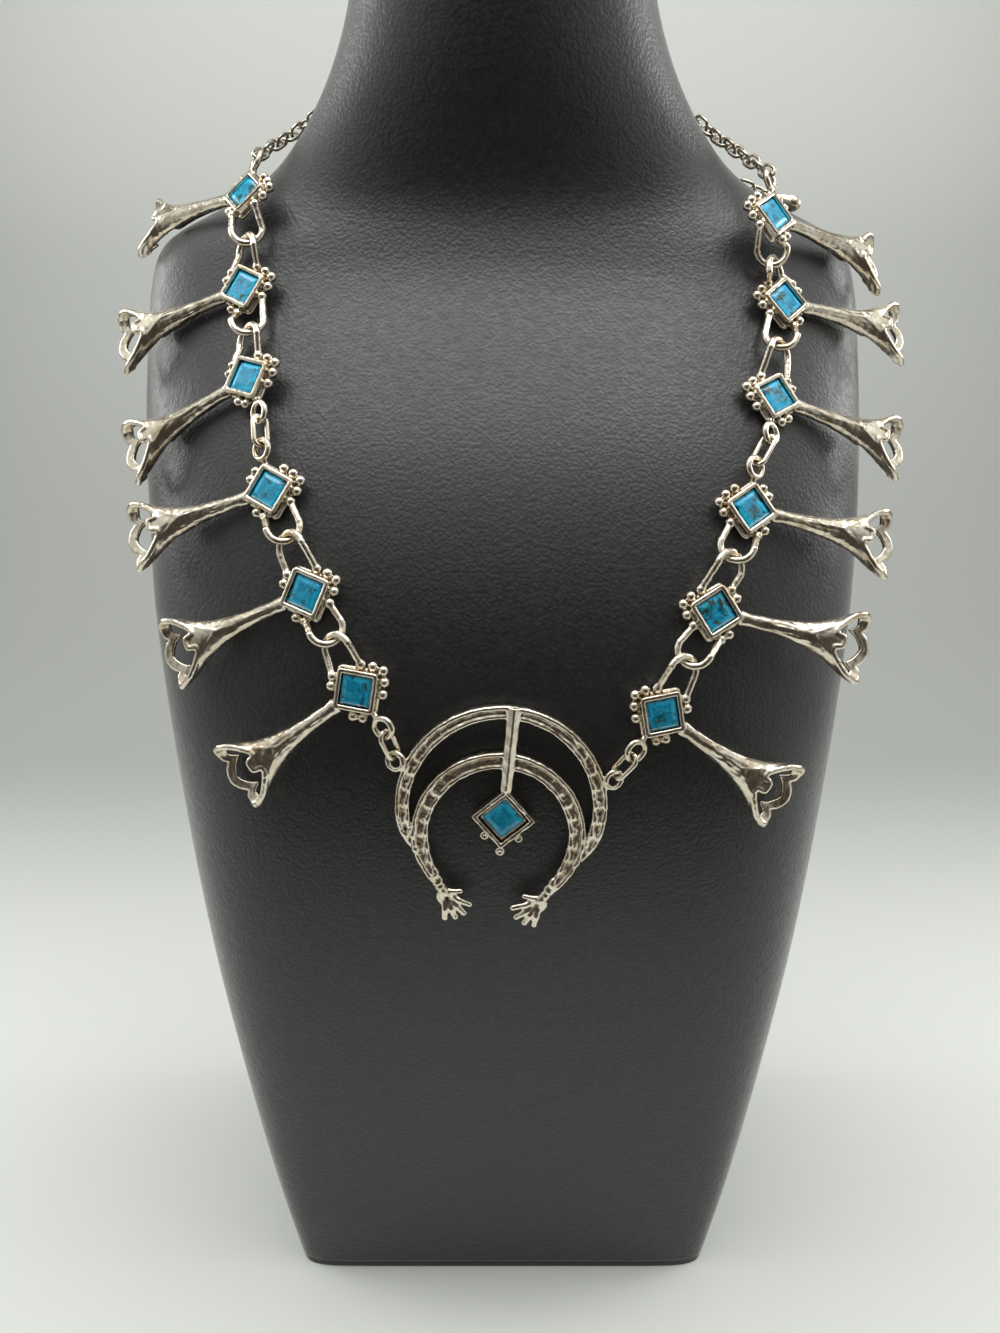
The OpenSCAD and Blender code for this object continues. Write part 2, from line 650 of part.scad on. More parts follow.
// Drop on the end of the extender, lying on the shoulder
module extender_drop() {
    w = way_extender();
    n = links_of(w);
    tail = spot(w, n);
    d = unit(tail - spot(w, n - 2));
    f = flat(out_at(tail), d);
    eye = tail + (link_inside + drop_eye_r - drop_wire / 2 - link_gap) * d;
    color(SILVER) multmatrix(columns(cross(f, d), d, f, eye)) {
        ring(drop_eye_r, drop_wire);
        translate([0, drop_eye_r - 0.2, 0]) rotate([-90, 0, 0]) rotate_extrude()
            polygon(concat([[0, 0]], [for (p = DROP) [p[1] * drop_width, p[0] * drop_length]]));
    }
}

neck_bust();
blossom(-1, 0);  // blossom_left_1
blossom(-1, 1);  // blossom_left_2
blossom(-1, 2);  // blossom_left_3
blossom(-1, 3);  // blossom_left_4
blossom(-1, 4);  // blossom_left_5
blossom(-1, 5);  // blossom_left_6
blossom(1, 0);  // blossom_right_1
blossom(1, 1);  // blossom_right_2
blossom(1, 2);  // blossom_right_3
blossom(1, 3);  // blossom_right_4
blossom(1, 4);  // blossom_right_5
blossom(1, 5);  // blossom_right_6
stone(-1, 0);  // stone_left_1
stone(-1, 1);  // stone_left_2
stone(-1, 2);  // stone_left_3
stone(-1, 3);  // stone_left_4
stone(-1, 4);  // stone_left_5
stone(-1, 5);  // stone_left_6
stone(1, 0);  // stone_right_1
stone(1, 1);  // stone_right_2
stone(1, 2);  // stone_right_3
stone(1, 3);  // stone_right_4
stone(1, 4);  // stone_right_5
stone(1, 5);  // stone_right_6
strand_link(-1);  // oval_link_left
strand_link(1);  // oval_link_right
naja_link(-1);  // naja_link_left
naja_link(1);  // naja_link_right
naja();
naja_stone();
color(SILVER) chain(way_left(), left_turn);  // chain_left
color(SILVER) chain(way_right(), right_turn);  // chain_right
clasp();
color(SILVER) chain(way_extender(), extender_turn);  // extender_chain
extender_drop();
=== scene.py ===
"""Looks of a squash blossom necklace on its neck bust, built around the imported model."""
import math

import bpy
import numpy as np
from mathutils import Matrix, Vector, noise


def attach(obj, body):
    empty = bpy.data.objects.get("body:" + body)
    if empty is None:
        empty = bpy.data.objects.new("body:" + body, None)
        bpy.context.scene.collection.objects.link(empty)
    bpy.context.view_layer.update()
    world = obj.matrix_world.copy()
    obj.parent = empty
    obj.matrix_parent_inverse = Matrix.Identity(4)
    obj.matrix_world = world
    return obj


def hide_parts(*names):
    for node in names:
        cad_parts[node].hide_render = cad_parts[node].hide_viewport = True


bl_info = {
    "name": "Squash Blossom Necklace",
    "version": (1, 0, 0),
    "blender": (4, 5, 0),
    "location": "View3D > Sidebar > Necklace",
    "description": "Cast silver blossoms, naja, turquoise, chain and a leather bust",
    "category": "Object",
}

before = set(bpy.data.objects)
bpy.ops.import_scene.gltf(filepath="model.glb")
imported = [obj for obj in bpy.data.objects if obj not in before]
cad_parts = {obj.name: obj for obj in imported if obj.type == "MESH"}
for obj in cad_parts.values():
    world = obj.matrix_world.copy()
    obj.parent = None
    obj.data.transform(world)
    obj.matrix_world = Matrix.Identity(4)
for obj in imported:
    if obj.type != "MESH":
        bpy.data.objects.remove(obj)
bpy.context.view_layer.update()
BODY = "root"
SIDES = ("left", "right")
STATIONS = range(1, 7)
MM = 0.001
TO_MM = Matrix.Scale(1 / MM, 4)
FROM_MM = Matrix.Scale(MM, 4)

# Sizes that the frame is read by, in millimetres: seat of a stone over the back of its
# setting, and place of the middle stone in the naja
STONE_SEAT = 1.4
NAJA_STONE_AT = (0.8, -2.95)

# Blossom from the head outwards: distance, half width, half depth, middle height
HORN = (
    (6.3, 1.9, 1.25, 1.7),
    (9, 1.6, 1.4, 1.8),
    (15, 1.8, 1.6, 1.85),
    (20, 2.3, 1.95, 1.8),
    (24, 3.0, 2.35, 1.7),
    (27, 3.8, 2.7, 1.6),
    (30, 4.9, 3.05, 1.5),
    (33, 6.5, 3.3, 1.4),
    (36, 8.2, 3.5, 1.3),
    (39, 9.0, 3.6, 1.2),
    (43, 9.3, 3.6, 1.2),
)
# Rim of the flower: angle round the mouth, inner edge and outer edge of its band
PETALS = (
    (90, 31.8, 33.8),
    (83, 31.4, 33.7),
    (76, 29.8, 31.5),
    (60, 30.4, 31.6),
    (45, 31.6, 33.0),
    (30, 33.2, 34.8),
    (15, 35.2, 37.4),
    (0, 36.4, 39.6),
    (-15, 37.4, 41.0),
    (-30, 38.2, 41.4),
    (-45, 38.7, 41.4),
    (-58, 39.0, 41.4),
    (-68, 36.6, 39.9),
    (-79, 39.0, 42.0),
    (-90, 40.8, 43.2),
)
# How much squarer than a circle the mouth is, and where on the horn that starts and how
# soon it is full
MOUTH_SQUARE = 0.9
MOUTH_START = 27
MOUTH_RAMP = 9
# Ends of the modelled tube, where the flower's skin starts on it, and where the plain
# flower of the CAD blossom is cut off
HORN_START = 6.4
HORN_END = 27.0
FLOWER_START = 24.6
FLOWER_CUT = 24.5
# Walls of the flower: how far they stand outside the horn's table, their thickness in
# front and behind, how far they end short of the rim, and the halves' overlap in degrees
WALL_PROUD = 0.12
SKIN_THICK = 1.25
BAND_THICK = 1.15
RIM_SHORT = 0.25
HALF_OVERLAP = 6
# Radius of the bead on the rim, its seat below the rim and inside the wall
LIP_R = 0.80
LIP_LOW = 0.45
LIP_IN = 0.34
# Where the head ends and the bark of the tube begins, and where the bark fades
BARK_START = 8.4
BARK_FADE = 21
# What the smoothing of a cast takes off a wire's radius, and what heads get back besides
CAST_LOSS = 0.07
HEAD_GAIN = 0.04
# Naja, measured from the middle of its outer crescent
CRESCENT_R = 26.9
INNER_R = 22.2
INNER_Y = -7.6
STONE_SIDE = 7.6
# Reach of a stone's table as a share of its corners' reach; past it the stone gets a painted
# reflection, and inside it painted shade
TABLE_SHARE = 0.6
SIDE_RING_AT = (27.5, 9.8, 1.6)
SIDE_RING_R = 2.2
SIDE_RING_WIRE = 1.3
RING_TILT = 24
BALL_R = 1.35
FRAME_BALLS = ((0, -9.3), (-4.3, -5.15), (4.3, -5.15))
# Half angle that a crescent spans, and the rows of beads in the channels: height of the
# crescent's middle, radius, number of beads and half angle of the row
CRESCENT_END = 136
BEAD_ROWS = ((0, CRESCENT_R - 2.3, 25, 124), (INNER_Y, INNER_R - 2.85, 23, 128))
# Section of a crescent: across from its inner edge, or back from its outer edge where it
# is below zero, and height
BAND_PROFILE = (
    (0.25, 0.0), (0.0, 0.35), (0.0, 2.1), (0.2, 2.45), (0.70, 2.45), (0.95, 2.1), (1.3, 1.9),
    (-1.5, 1.9), (-1.2, 2.1), (-0.95, 2.55), (-0.35, 2.65), (-0.001, 2.15), (-0.001, 0.35),
    (-0.25, 0.0),
)
# Right hand: wrist, middle of the palm, its hollow, and places of the two collars between
# wrist and palm
WRIST = (15.7, -20.2, 1.5)
PALM = (11.75, -26.5, 1.45)
HOLLOW_AT = (11.6, -26.9)
COLLARS = (0.36, 0.52)
# Fingers of the right hand: root across and up, tip across and up, half thickness
FINGERS = (
    (12.9, -24.9, 8.3, -24.7, 0.78),
    (11.2, -25.9, 5.7, -28.2, 0.88),
    (11.0, -27.0, 6.9, -30.7, 0.94),
    (11.4, -27.6, 9.1, -32.1, 0.94),
    (12.2, -27.6, 11.7, -32.6, 0.90),
)
# Soldered joint of a link: how much thicker it is, and its reach in wire thicknesses
JOINT_SWELL = 0.10
JOINT_REACH = 0.7
# Bust: how high its foot's edge reaches, and how sharp the edges of its foot and top are
FOOT_HEIGHT = 0.0035
FOOT_CREASE = 0.85
# Silver of the cast pieces and of the chain wire: brightness beside the silver's colour
BRIGHTNESS = {"cast_silver": 1.0, "wire_silver": 0.62}
# Picture that the focal length is given for, and the height of the camera's sensor
PICTURE_HEIGHT = 1333
SENSOR = 24


def colour_property(name, description, default):
    return bpy.props.FloatVectorProperty(
        name=name, description=description, subtype="COLOR", size=3, min=0, max=1, default=default)


# Sizes and colours that a user would change
class NecklaceBust(bpy.types.PropertyGroup):
    """Leather of the bust."""
    leather: colour_property("Leather", "Colour of the leather", (0.0075, 0.0075, 0.0080))
    grain_size: bpy.props.FloatProperty(
        name="Grain", description="Width of a pebble of the grain", subtype="DISTANCE",
        unit="LENGTH", default=0.0010)
    grain_depth: bpy.props.FloatProperty(
        name="Grain depth", description="Depth of the grain", subtype="DISTANCE",
        unit="LENGTH", default=0.00012)


class NecklaceSilver(bpy.types.PropertyGroup):
    """Cast silver of the blossoms, naja and links."""
    silver: colour_property("Silver", "Colour of the polished silver", (0.76, 0.69, 0.575))
    patina: colour_property(
        "Patina", "Colour of the tarnish in the shallow recesses", (0.32, 0.245, 0.175))
    black: colour_property(
        "Black", "Colour of the tarnish in the tight corners", (0.060, 0.044, 0.034))
    voxel: bpy.props.FloatProperty(
        name="Detail", description="Size of the finest cast detail in millimetres",
        default=0.28, min=0.15, max=0.6)
    hammer: bpy.props.FloatProperty(
        name="Hammering", description="Depth of the hammer marks in millimetres",
        default=0.07, min=0, max=0.3)
    bark: bpy.props.FloatProperty(
        name="Bark", description="Depth of the bark on a blossom's tube in millimetres",
        default=0.13, min=0, max=0.4)


class NecklaceStones(bpy.types.PropertyGroup):
    """Turquoise of the stones."""
    blue: colour_property("Blue", "Main colour of the turquoise", (0.003, 0.225, 0.37))
    green: colour_property("Green", "Colour of its greener patches", (0.008, 0.19, 0.19))
    matrix: colour_property("Matrix", "Colour of the veins", (0.030, 0.026, 0.016))


class NecklaceStage(bpy.types.PropertyGroup):
    """Floor, light and camera."""
    floor: colour_property("Floor", "Colour of the floor", (0.465, 0.48, 0.455))
    focal_pixels: bpy.props.FloatProperty(
        name="Focal length", description="Focal length in pixels of a picture 1333 high",
        default=1120)
    pitch: bpy.props.FloatProperty(
        name="Pitch", description="Angle of the camera below the level", subtype="ANGLE",
        unit="ROTATION", default=math.radians(21))
    camera_place: bpy.props.FloatVectorProperty(
        name="Camera", description="Place of the camera", subtype="XYZ", unit="LENGTH",
        size=3, default=(-0.0008, -0.31314, 0.30461))


# Selecting, copying and shaping
def deselect():
    for obj in bpy.context.selected_objects:
        obj.select_set(False)


def pick(*objects):
    deselect()
    for obj in objects:
        obj.select_set(True)
    bpy.context.view_layer.objects.active = objects[0]


def coords(obj, key="co"):
    """Places of the vertices, or their directions under the key normal."""
    flat = np.empty(len(obj.data.vertices) * 3, np.float32)
    obj.data.vertices.foreach_get(key, flat)
    return flat.reshape(-1, 3).astype(float)


def set_coords(obj, points):
    obj.data.vertices.foreach_set("co", np.asarray(points, np.float32).ravel())
    obj.data.update()


def edge_ends(obj):
    """The two vertices of each edge."""
    flat = np.empty(len(obj.data.edges) * 2, np.int32)
    obj.data.edges.foreach_get("vertices", flat)
    return flat.reshape(-1, 2)


def select_verts(obj, mask):
    """Selects the vertices of the mask, and what lies between them, in edit mode."""
    bpy.ops.object.mode_set(mode="OBJECT")
    data = obj.data
    mask = np.asarray(mask, bool)
    data.vertices.foreach_set("select", mask)
    data.edges.foreach_set("select", mask[edge_ends(obj)].all(1))
    inside = [bool(mask[list(p.vertices)].all()) for p in data.polygons]
    data.polygons.foreach_set("select", inside)
    bpy.ops.object.mode_set(mode="EDIT")
    bpy.ops.mesh.select_mode(type="VERT")


def finish_edit():
    bpy.ops.object.mode_set(mode="OBJECT")


def edit_all(obj):
    """Opens an object in edit mode with all of it selected."""
    pick(obj)
    bpy.ops.object.mode_set(mode="EDIT")
    bpy.ops.mesh.select_all(action="SELECT")


def store(obj, name, values, domain="POINT"):
    """Keeps one number for each vertex or edge under a name."""
    layer = obj.data.attributes.new(name, "FLOAT", domain)
    layer.data.foreach_set("value", np.asarray(values, np.float32))


def ramp(value, start, length):
    """0 up to a start, and 1 from a length past it."""
    return min(1.0, max(0.0, (value - start) / length))


def node_copy(node, name, matrix=None):
    """Merged copy of a CAD node's mesh as a new object, moved by a matrix. The CAD measures
    are metres, and a matrix given here makes them millimetres."""
    deselect()
    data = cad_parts[node].data.copy()
    obj = bpy.data.objects.new(name, data)
    bpy.context.scene.collection.objects.link(obj)
    data.materials.clear()
    if matrix is not None:
        data.transform(matrix)
    edit_all(obj)
    bpy.ops.mesh.remove_doubles(threshold=1e-6 if matrix is None else 1e-3)
    finish_edit()
    return obj


def made_object(name):
    """Names the object that an operator has just added."""
    obj = bpy.context.active_object
    obj.name = name
    return obj


def twin(obj, name):
    """Copy of an object with its own mesh."""
    other = bpy.data.objects.new(name, obj.data.copy())
    bpy.context.scene.collection.objects.link(other)
    return other


def modify(obj, kind, **settings):
    """Adds a modifier and applies it."""
    pick(obj)
    mod = obj.modifiers.new(kind.title(), kind)
    for key, value in settings.items():
        setattr(mod, key, value)
    bpy.ops.object.modifier_apply(modifier=mod.name)


def joined(*objects):
    pick(*objects)
    bpy.ops.object.join()
    return bpy.context.view_layer.objects.active


def close_holes(obj):
    edit_all(obj)
    bpy.ops.mesh.fill_holes(sides=0)
    bpy.ops.mesh.normals_make_consistent(inside=False)
    finish_edit()


def cast(obj, voxel, smoothing):
    """Fuses the parts of a mesh into one skin, with the soft corners of a casting."""
    modify(obj, "REMESH", mode="VOXEL", voxel_size=voxel, use_smooth_shade=True)
    modify(obj, "SMOOTH", factor=0.5, iterations=smoothing)


def shifted(obj, depth):
    """Moves each vertex along its normal by a function of its place."""
    points = coords(obj)
    push = np.array([depth(Vector(p)) for p in points])
    set_coords(obj, points + coords(obj, "normal") * push[:, None])


def relaxed(points, ends, rounds):
    """Places after each vertex has moved to the mean of its neighbours."""
    count = len(points)
    a, b = ends[:, 0], ends[:, 1]
    share = np.bincount(a, minlength=count) + np.bincount(b, minlength=count)
    share = np.maximum(share, 1)
    for _ in range(rounds):
        points = np.stack([
            (np.bincount(a, points[b, k], count) + np.bincount(b, points[a, k], count)) / share
            for k in range(3)], 1)
    return points


def mark_recesses(obj, *scales):
    """Stores how deep each vertex lies below its surroundings, 0.5 where it is level. Each
    scale is a number of rounds of smoothing and the depth that counts as full."""
    ends = edge_ends(obj)
    points = coords(obj)
    out = coords(obj, "normal")
    around = points
    depth = np.zeros(len(points))
    for rounds, full in scales:
        around = relaxed(around, ends, rounds)
        depth += ((around - points) * out).sum(1) / full
    store(obj, "recess", np.clip(0.5 + 0.5 * depth, 0, 1))


def settle(obj, material, slot, *nodes, matrix=None, crisp=None):
    """Puts a finished piece in its place, gives it its finish and lets it ride. Edges that
    are sharper than crisp degrees stay sharp."""
    if matrix is not None:
        obj.data.transform(matrix)
    obj.data.materials.clear()
    obj.data.materials.append(material)
    pick(obj)
    if crisp is None:
        bpy.ops.object.shade_smooth()
    else:
        bpy.ops.object.shade_smooth_by_angle(angle=math.radians(crisp))
    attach(obj, BODY)
    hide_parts(*nodes)


def place_matrix(origin, across, up, out):
    """Matrix of a frame whose measures are in millimetres."""
    turn = Matrix((across, up, out)).transposed().to_4x4()
    return Matrix.Translation(origin) @ turn @ FROM_MM


# Reading the frame
def stone_frame(node):
    """Middle of a stone's back, its direction outwards and its four corners."""
    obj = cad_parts[node]
    points = coords(obj)
    faces = [list(p.vertices) for p in obj.data.polygons]
    areas = [p.area for p in obj.data.polygons]
    back = sorted(range(len(faces)), key=lambda k: -areas[k])[:2]
    out = -sum((obj.data.polygons[k].normal for k in back), Vector()).normalized()
    corners = np.unique(np.round(points[sum((faces[k] for k in back), [])], 7), axis=0)
    middle = corners.mean(0)
    return Vector(middle), out, [Vector(c) - Vector(middle) for c in corners]


def head_matrix(side, i):
    """Frame of a head: its blossom points along X, and Z is out from the bust."""
    middle, out, corners = stone_frame(f"stone_{side}_{i}")
    way = Vector(coords(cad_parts[f"blossom_{side}_{i}"]).mean(0)) - middle
    along = max(corners, key=lambda c: c.dot(way))
    along = (along - along.dot(out) * out).normalized()
    return place_matrix(middle - out * STONE_SEAT * MM, along, out.cross(along), out)


def naja_matrix():
    middle, out, corners = stone_frame("naja_stone")
    up = max(corners, key=lambda c: c.z)
    up = (up - up.dot(out) * out).normalized()
    across = up.cross(out)
    origin = middle - (out * STONE_SEAT + across * NAJA_STONE_AT[0] + up * NAJA_STONE_AT[1]) * MM
    return place_matrix(origin, across, up, out)


# Shader building
def link(tree, a, b):
    tree.links.new(a, b)


def add(tree, kind, values=None, **settings):
    """Adds a shader node, with its settings and the values of its inputs."""
    made = tree.nodes.new(kind)
    for key, value in settings.items():
        setattr(made, key, value)
    for key, value in (values or {}).items():
        if isinstance(value, bpy.types.NodeSocket):
            link(tree, value, made.inputs[key])
        else:
            made.inputs[key].default_value = value
    return made


def maths(tree, operation, a, b=0.0, clamp=False):
    """Result of a math node."""
    made = add(tree, "ShaderNodeMath", {0: a, 1: b}, operation=operation, use_clamp=clamp)
    return made.outputs[0]


def fade(tree, value, low, high, to_low=0.0, to_high=1.0):
    """Smooth step of a value from one range to another."""
    made = add(tree, "ShaderNodeMapRange", {
        "Value": value, "From Min": low, "From Max": high, "To Min": to_low, "To Max": to_high},
        interpolation_type="SMOOTHSTEP")
    return made.outputs["Result"]


def mixed(tree, share, *colours):
    """Colour between two colours. Sockets 6 and 7 of the node are the ones for colours."""
    values = {0: share}
    for socket, colour in zip((6, 7), colours):
        linked = isinstance(colour, bpy.types.NodeSocket)
        values[socket] = colour if linked else (*colour, 1)
    return add(tree, "ShaderNodeMix", values, data_type="RGBA").outputs[2]


def swing(tree, value, amount):
    """How far a value lies from a half, times an amount."""
    return maths(tree, "MULTIPLY", maths(tree, "SUBTRACT", value, 0.5), amount)


def object_place(tree):
    return add(tree, "ShaderNodeTexCoord").outputs["Object"]


def clouds(tree, place, scale, detail=2.0, roughness=0.5, distortion=0.0):
    """Outputs of a noise texture."""
    return add(tree, "ShaderNodeTexNoise", {
        "Vector": place, "Scale": scale, "Detail": detail, "Roughness": roughness,
        "Distortion": distortion}).outputs


def relief(tree, shader, height, strength, distance):
    """Bumps on the surface of a material."""
    bump = add(tree, "ShaderNodeBump", {
        "Strength": strength, "Distance": distance, "Height": height})
    link(tree, bump.outputs["Normal"], shader.inputs["Normal"])


def group(name, inputs, outputs):
    """New shader node group with named float sockets, and its two end nodes."""
    tree = bpy.data.node_groups.new(name, "ShaderNodeTree")
    for label, value in inputs:
        socket = tree.interface.new_socket(label, in_out="INPUT", socket_type="NodeSocketFloat")
        socket.default_value = value
    for label in outputs:
        tree.interface.new_socket(label, in_out="OUTPUT", socket_type="NodeSocketFloat")
    return tree, tree.nodes.new("NodeGroupInput"), tree.nodes.new("NodeGroupOutput")


def tarnish_group():
    """Tarnish that gathers in recesses and comes off the high places."""
    name = "Tarnish"
    if name in bpy.data.node_groups:
        return bpy.data.node_groups[name]
    tree, source, sink = group(
        name, (("Recess", 0.5), ("Amount", 1.0), ("Spot Size", 400.0)),
        ("Mask", "Deep", "Roughness", "Height"))
    place = object_place(tree)
    spots = clouds(tree, place, source.outputs["Spot Size"], 4.0, 0.65)["Fac"]
    cloud = clouds(tree, place, 90.0, 1.0)["Fac"]
    fine = clouds(tree, place, 2600.0)["Fac"]
    stirred = maths(tree, "ADD", source.outputs["Recess"], swing(tree, spots, 0.22))
    stirred = maths(tree, "ADD", stirred, swing(tree, cloud, 0.14))
    amount = source.outputs["Amount"]
    mask = maths(tree, "MULTIPLY", fade(tree, stirred, 0.53, 0.80), amount, clamp=True)
    link(tree, mask, sink.inputs["Mask"])
    deep = maths(tree, "MULTIPLY", fade(tree, stirred, 0.78, 0.98), amount, clamp=True)
    link(tree, deep, sink.inputs["Deep"])
    rough = fade(tree, spots, 0.3, 0.75, 0.17, 0.30)
    rough = maths(tree, "ADD", rough, maths(tree, "MULTIPLY", mask, 0.12))
    link(tree, rough, sink.inputs["Roughness"])
    height = maths(tree, "ADD", maths(tree, "MULTIPLY", spots, 0.8),
                   maths(tree, "MULTIPLY", fine, 0.2))
    link(tree, height, sink.inputs["Height"])
    return tree


def new_material(name):
    made = bpy.data.materials.new(name)
    made.use_nodes = True
    tree = made.node_tree
    return made, tree, tree.nodes["Principled BSDF"]


def silver_material(name):
    """Silver with a warm and a cool tone, brown patina in its recesses and black corners."""
    if name in bpy.data.materials:
        return bpy.data.materials[name]
    props = bpy.context.scene.necklace_silver
    made, tree, shader = new_material(name)
    recess = add(tree, "ShaderNodeAttribute", attribute_name="recess").outputs["Fac"]
    tarnish = add(tree, "ShaderNodeGroup", node_tree=tarnish_group())
    link(tree, recess, tarnish.inputs["Recess"])
    tone = clouds(tree, object_place(tree), 160.0)["Fac"]
    silver = [c * BRIGHTNESS[name] for c in props.silver]
    warm = [c * w for c, w in zip(silver, (0.70, 0.62, 0.54))]
    body = mixed(tree, fade(tree, tone, 0.44, 0.76), silver, warm)
    colour = mixed(tree, tarnish.outputs["Mask"], body, props.patina)
    colour = mixed(tree, tarnish.outputs["Deep"], colour, props.black)
    link(tree, colour, shader.inputs["Base Color"])
    link(tree, tarnish.outputs["Roughness"], shader.inputs["Roughness"])
    shader.inputs["Metallic"].default_value = 1.0
    relief(tree, shader, tarnish.outputs["Height"], strength=0.3, distance=0.0002)
    return made


def turquoise_material():
    """Blue stone with greener and darker patches and broken veins, with a painted reflection that
    pales its outer facets and painted shade that darkens its table.
    """
    props = bpy.context.scene.necklace_stones
    made, tree, shader = new_material("cut_turquoise")
    place = object_place(tree)
    swirl = clouds(tree, place, 620.0, 4.0, distortion=0.8)
    swirls = swirl["Fac"]
    patch = clouds(tree, place, 230.0, 3.0)["Fac"]
    cloud = clouds(tree, place, 330.0, 4.0, distortion=1.2)["Fac"]
    moved = mixed_vector(tree, place, swirl["Color"], 0.0022)
    veins = add(tree, "ShaderNodeTexVoronoi", {"Vector": moved, "Scale": 380.0},
                feature="DISTANCE_TO_EDGE")
    vein = fade(tree, veins.outputs["Distance"], 0.0, 0.15, 1.0, 0.0)
    vein = maths(tree, "MULTIPLY", vein, fade(tree, patch, 0.50, 0.60))
    pale = [min(1, c * 1.5 + 0.015) for c in props.blue]
    body = mixed(tree, fade(tree, swirls, 0.38, 0.70), props.blue, pale)
    body = mixed(tree, fade(tree, patch, 0.5, 0.72), body, props.green)
    # Painted light: 0 on the table, 1 at the corners, for a painted reflection on the outer facets
    # and painted shade on the table
    edge = add(tree, "ShaderNodeAttribute", attribute_name="painted_light_band").outputs["Fac"]
    # Painted reflection that pales the outer facets
    painted_reflection = [min(1, c * 1.7 + 0.01) for c in props.blue]
    body = mixed(tree, fade(tree, edge, 0.02, 0.45, 0.0, 0.6), body, painted_reflection)
    # Painted shade that darkens the table; the same colour also makes the random darker patches
    # below
    navy_and_shade = [c * 0.16 for c in props.blue]
    body = mixed(tree, fade(tree, edge, 0.0, 0.12, 0.30, 0.0), body, navy_and_shade)
    body = mixed(tree, fade(tree, cloud, 0.52, 0.70, 0.0, 0.9), body, navy_and_shade)
    link(tree, mixed(tree, vein, body, props.matrix), shader.inputs["Base Color"])
    link(tree, fade(tree, swirls, 0.3, 0.7, 0.10, 0.24), shader.inputs["Roughness"])
    shader.inputs["Coat Weight"].default_value = 0.5
    shader.inputs["Coat Roughness"].default_value = 0.08
    relief(tree, shader, swirls, strength=0.25, distance=0.0002)
    return made


def mixed_vector(tree, a, b, share):
    """A place pushed a little by a colour."""
    push = add(tree, "ShaderNodeVectorMath", {0: b, 1: (share, share, share)}, operation="MULTIPLY")
    return add(tree, "ShaderNodeVectorMath", {0: a, 1: push.outputs[0]}, operation="ADD").outputs[0]


def leather_material():
    """Black leather with a pebbled grain."""
    props = bpy.context.scene.necklace_bust
    made, tree, shader = new_material("pebbled_leather")
    place = object_place(tree)
    crease = clouds(tree, place, 420.0, 3.0, 0.6)
    cloud = clouds(tree, place, 14.0, 1.0)["Fac"]
    moved = mixed_vector(tree, place, crease["Color"], props.grain_size * 1.2)
    pebble = add(tree, "ShaderNodeTexVoronoi", {"Vector": moved, "Scale": 1 / props.grain_size})
    height = maths(tree, "SUBTRACT", maths(tree, "MULTIPLY", crease["Fac"], 0.6),
                   maths(tree, "MULTIPLY", pebble.outputs["Distance"], 0.9))
    light = [c * 1.7 + 0.002 for c in props.leather]
    colour = mixed(tree, fade(tree, height, -0.3, 0.3), props.leather, light)
    link(tree, colour, shader.inputs["Base Color"])
    rough = fade(tree, crease["Fac"], 0.3, 0.7, 0.46, 0.34)
    rough = maths(tree, "ADD", rough, swing(tree, cloud, 0.12))
    link(tree, rough, shader.inputs["Roughness"])
    shader.inputs["Specular IOR Level"].default_value = 0.55
    shader.inputs["Sheen Weight"].default_value = 0.30
    shader.inputs["Sheen Roughness"].default_value = 0.42
    relief(tree, shader, height, strength=0.8, distance=props.grain_depth)
    return made


# Blossoms
def between(table, key):
    """Row of a table read at a value of its first column."""
    table = sorted(table)
    columns = list(zip(*table))
    return [float(np.interp(key, columns[0], c)) for c in columns[1:]]


def squared(value, power):
    """A sine or cosine bent so that its circle turns squarer with the power."""
    return math.copysign(abs(value) ** (2 / power), value)


def horn_place(u, angle, less=0.0):
    """Point of the horn's skin, with an amount taken off all round. The mouth is squarer
    than the tube, which makes the lobes round."""
    width, depth, height = between(HORN, u)
    power = 2 + MOUTH_SQUARE * ramp(u, MOUTH_START, MOUTH_RAMP)
    return (u, (width - less) * squared(math.cos(angle), power),
            height + (depth - less) * squared(math.sin(angle), power))


def shaped_grid(name, rows, columns, place, closed=False):
    """A grid bent into a skin: place gives a point by row and column."""
    deselect()
    bpy.ops.mesh.primitive_grid_add(
        x_subdivisions=rows, y_subdivisions=columns, size=1, location=(0, 0, 0))
    obj = made_object(name)
    points = coords(obj)
    row = np.rint((points[:, 0] + 0.5) * rows).astype(int)
    column = np.rint((points[:, 1] + 0.5) * columns).astype(int)
    set_coords(obj, [place(int(r), int(c)) for r, c in zip(row, column)])
    if closed:
        edit_all(obj)
        bpy.ops.mesh.remove_doubles(threshold=1e-4)
        finish_edit()
        close_holes(obj)
    return obj


def tube(name, path, radii, sides=10):
    """Round bar with soft ends along a list of points."""
    path = [Vector(p) for p in path]
    last = len(path) - 1

    def place(row, column):
        ahead = path[min(row + 1, last)] - path[max(row - 1, 0)]
        side = ahead.cross(Vector((0, 0, 1)))
        side = side.normalized() if side.length > 1e-6 else Vector((1, 0, 0))
        up = side.cross(ahead).normalized()
        turn = 2 * math.pi * (column % sides) / sides
        reach = side * math.cos(turn) + up * math.sin(turn)
        return path[row] + reach * radii[row]

    return shaped_grid(name, last, sides, place, closed=True)


def horn_tube():
    """Tube from the head to the flower."""
    rows, sides = 24, 28

    def place(row, column):
        u = HORN_START + (HORN_END - HORN_START) * row / rows
        angle = 2 * math.pi * (column % sides) / sides
        return horn_place(u, angle, -CAST_LOSS)

    return shaped_grid("horn", rows, sides, place, closed=True)


def folded(degrees):
    """Angle round the mouth on its right side, because its two sides are the same."""
    if degrees < -90:
        return -180 - degrees
    return degrees if degrees <= 90 else 180 - degrees


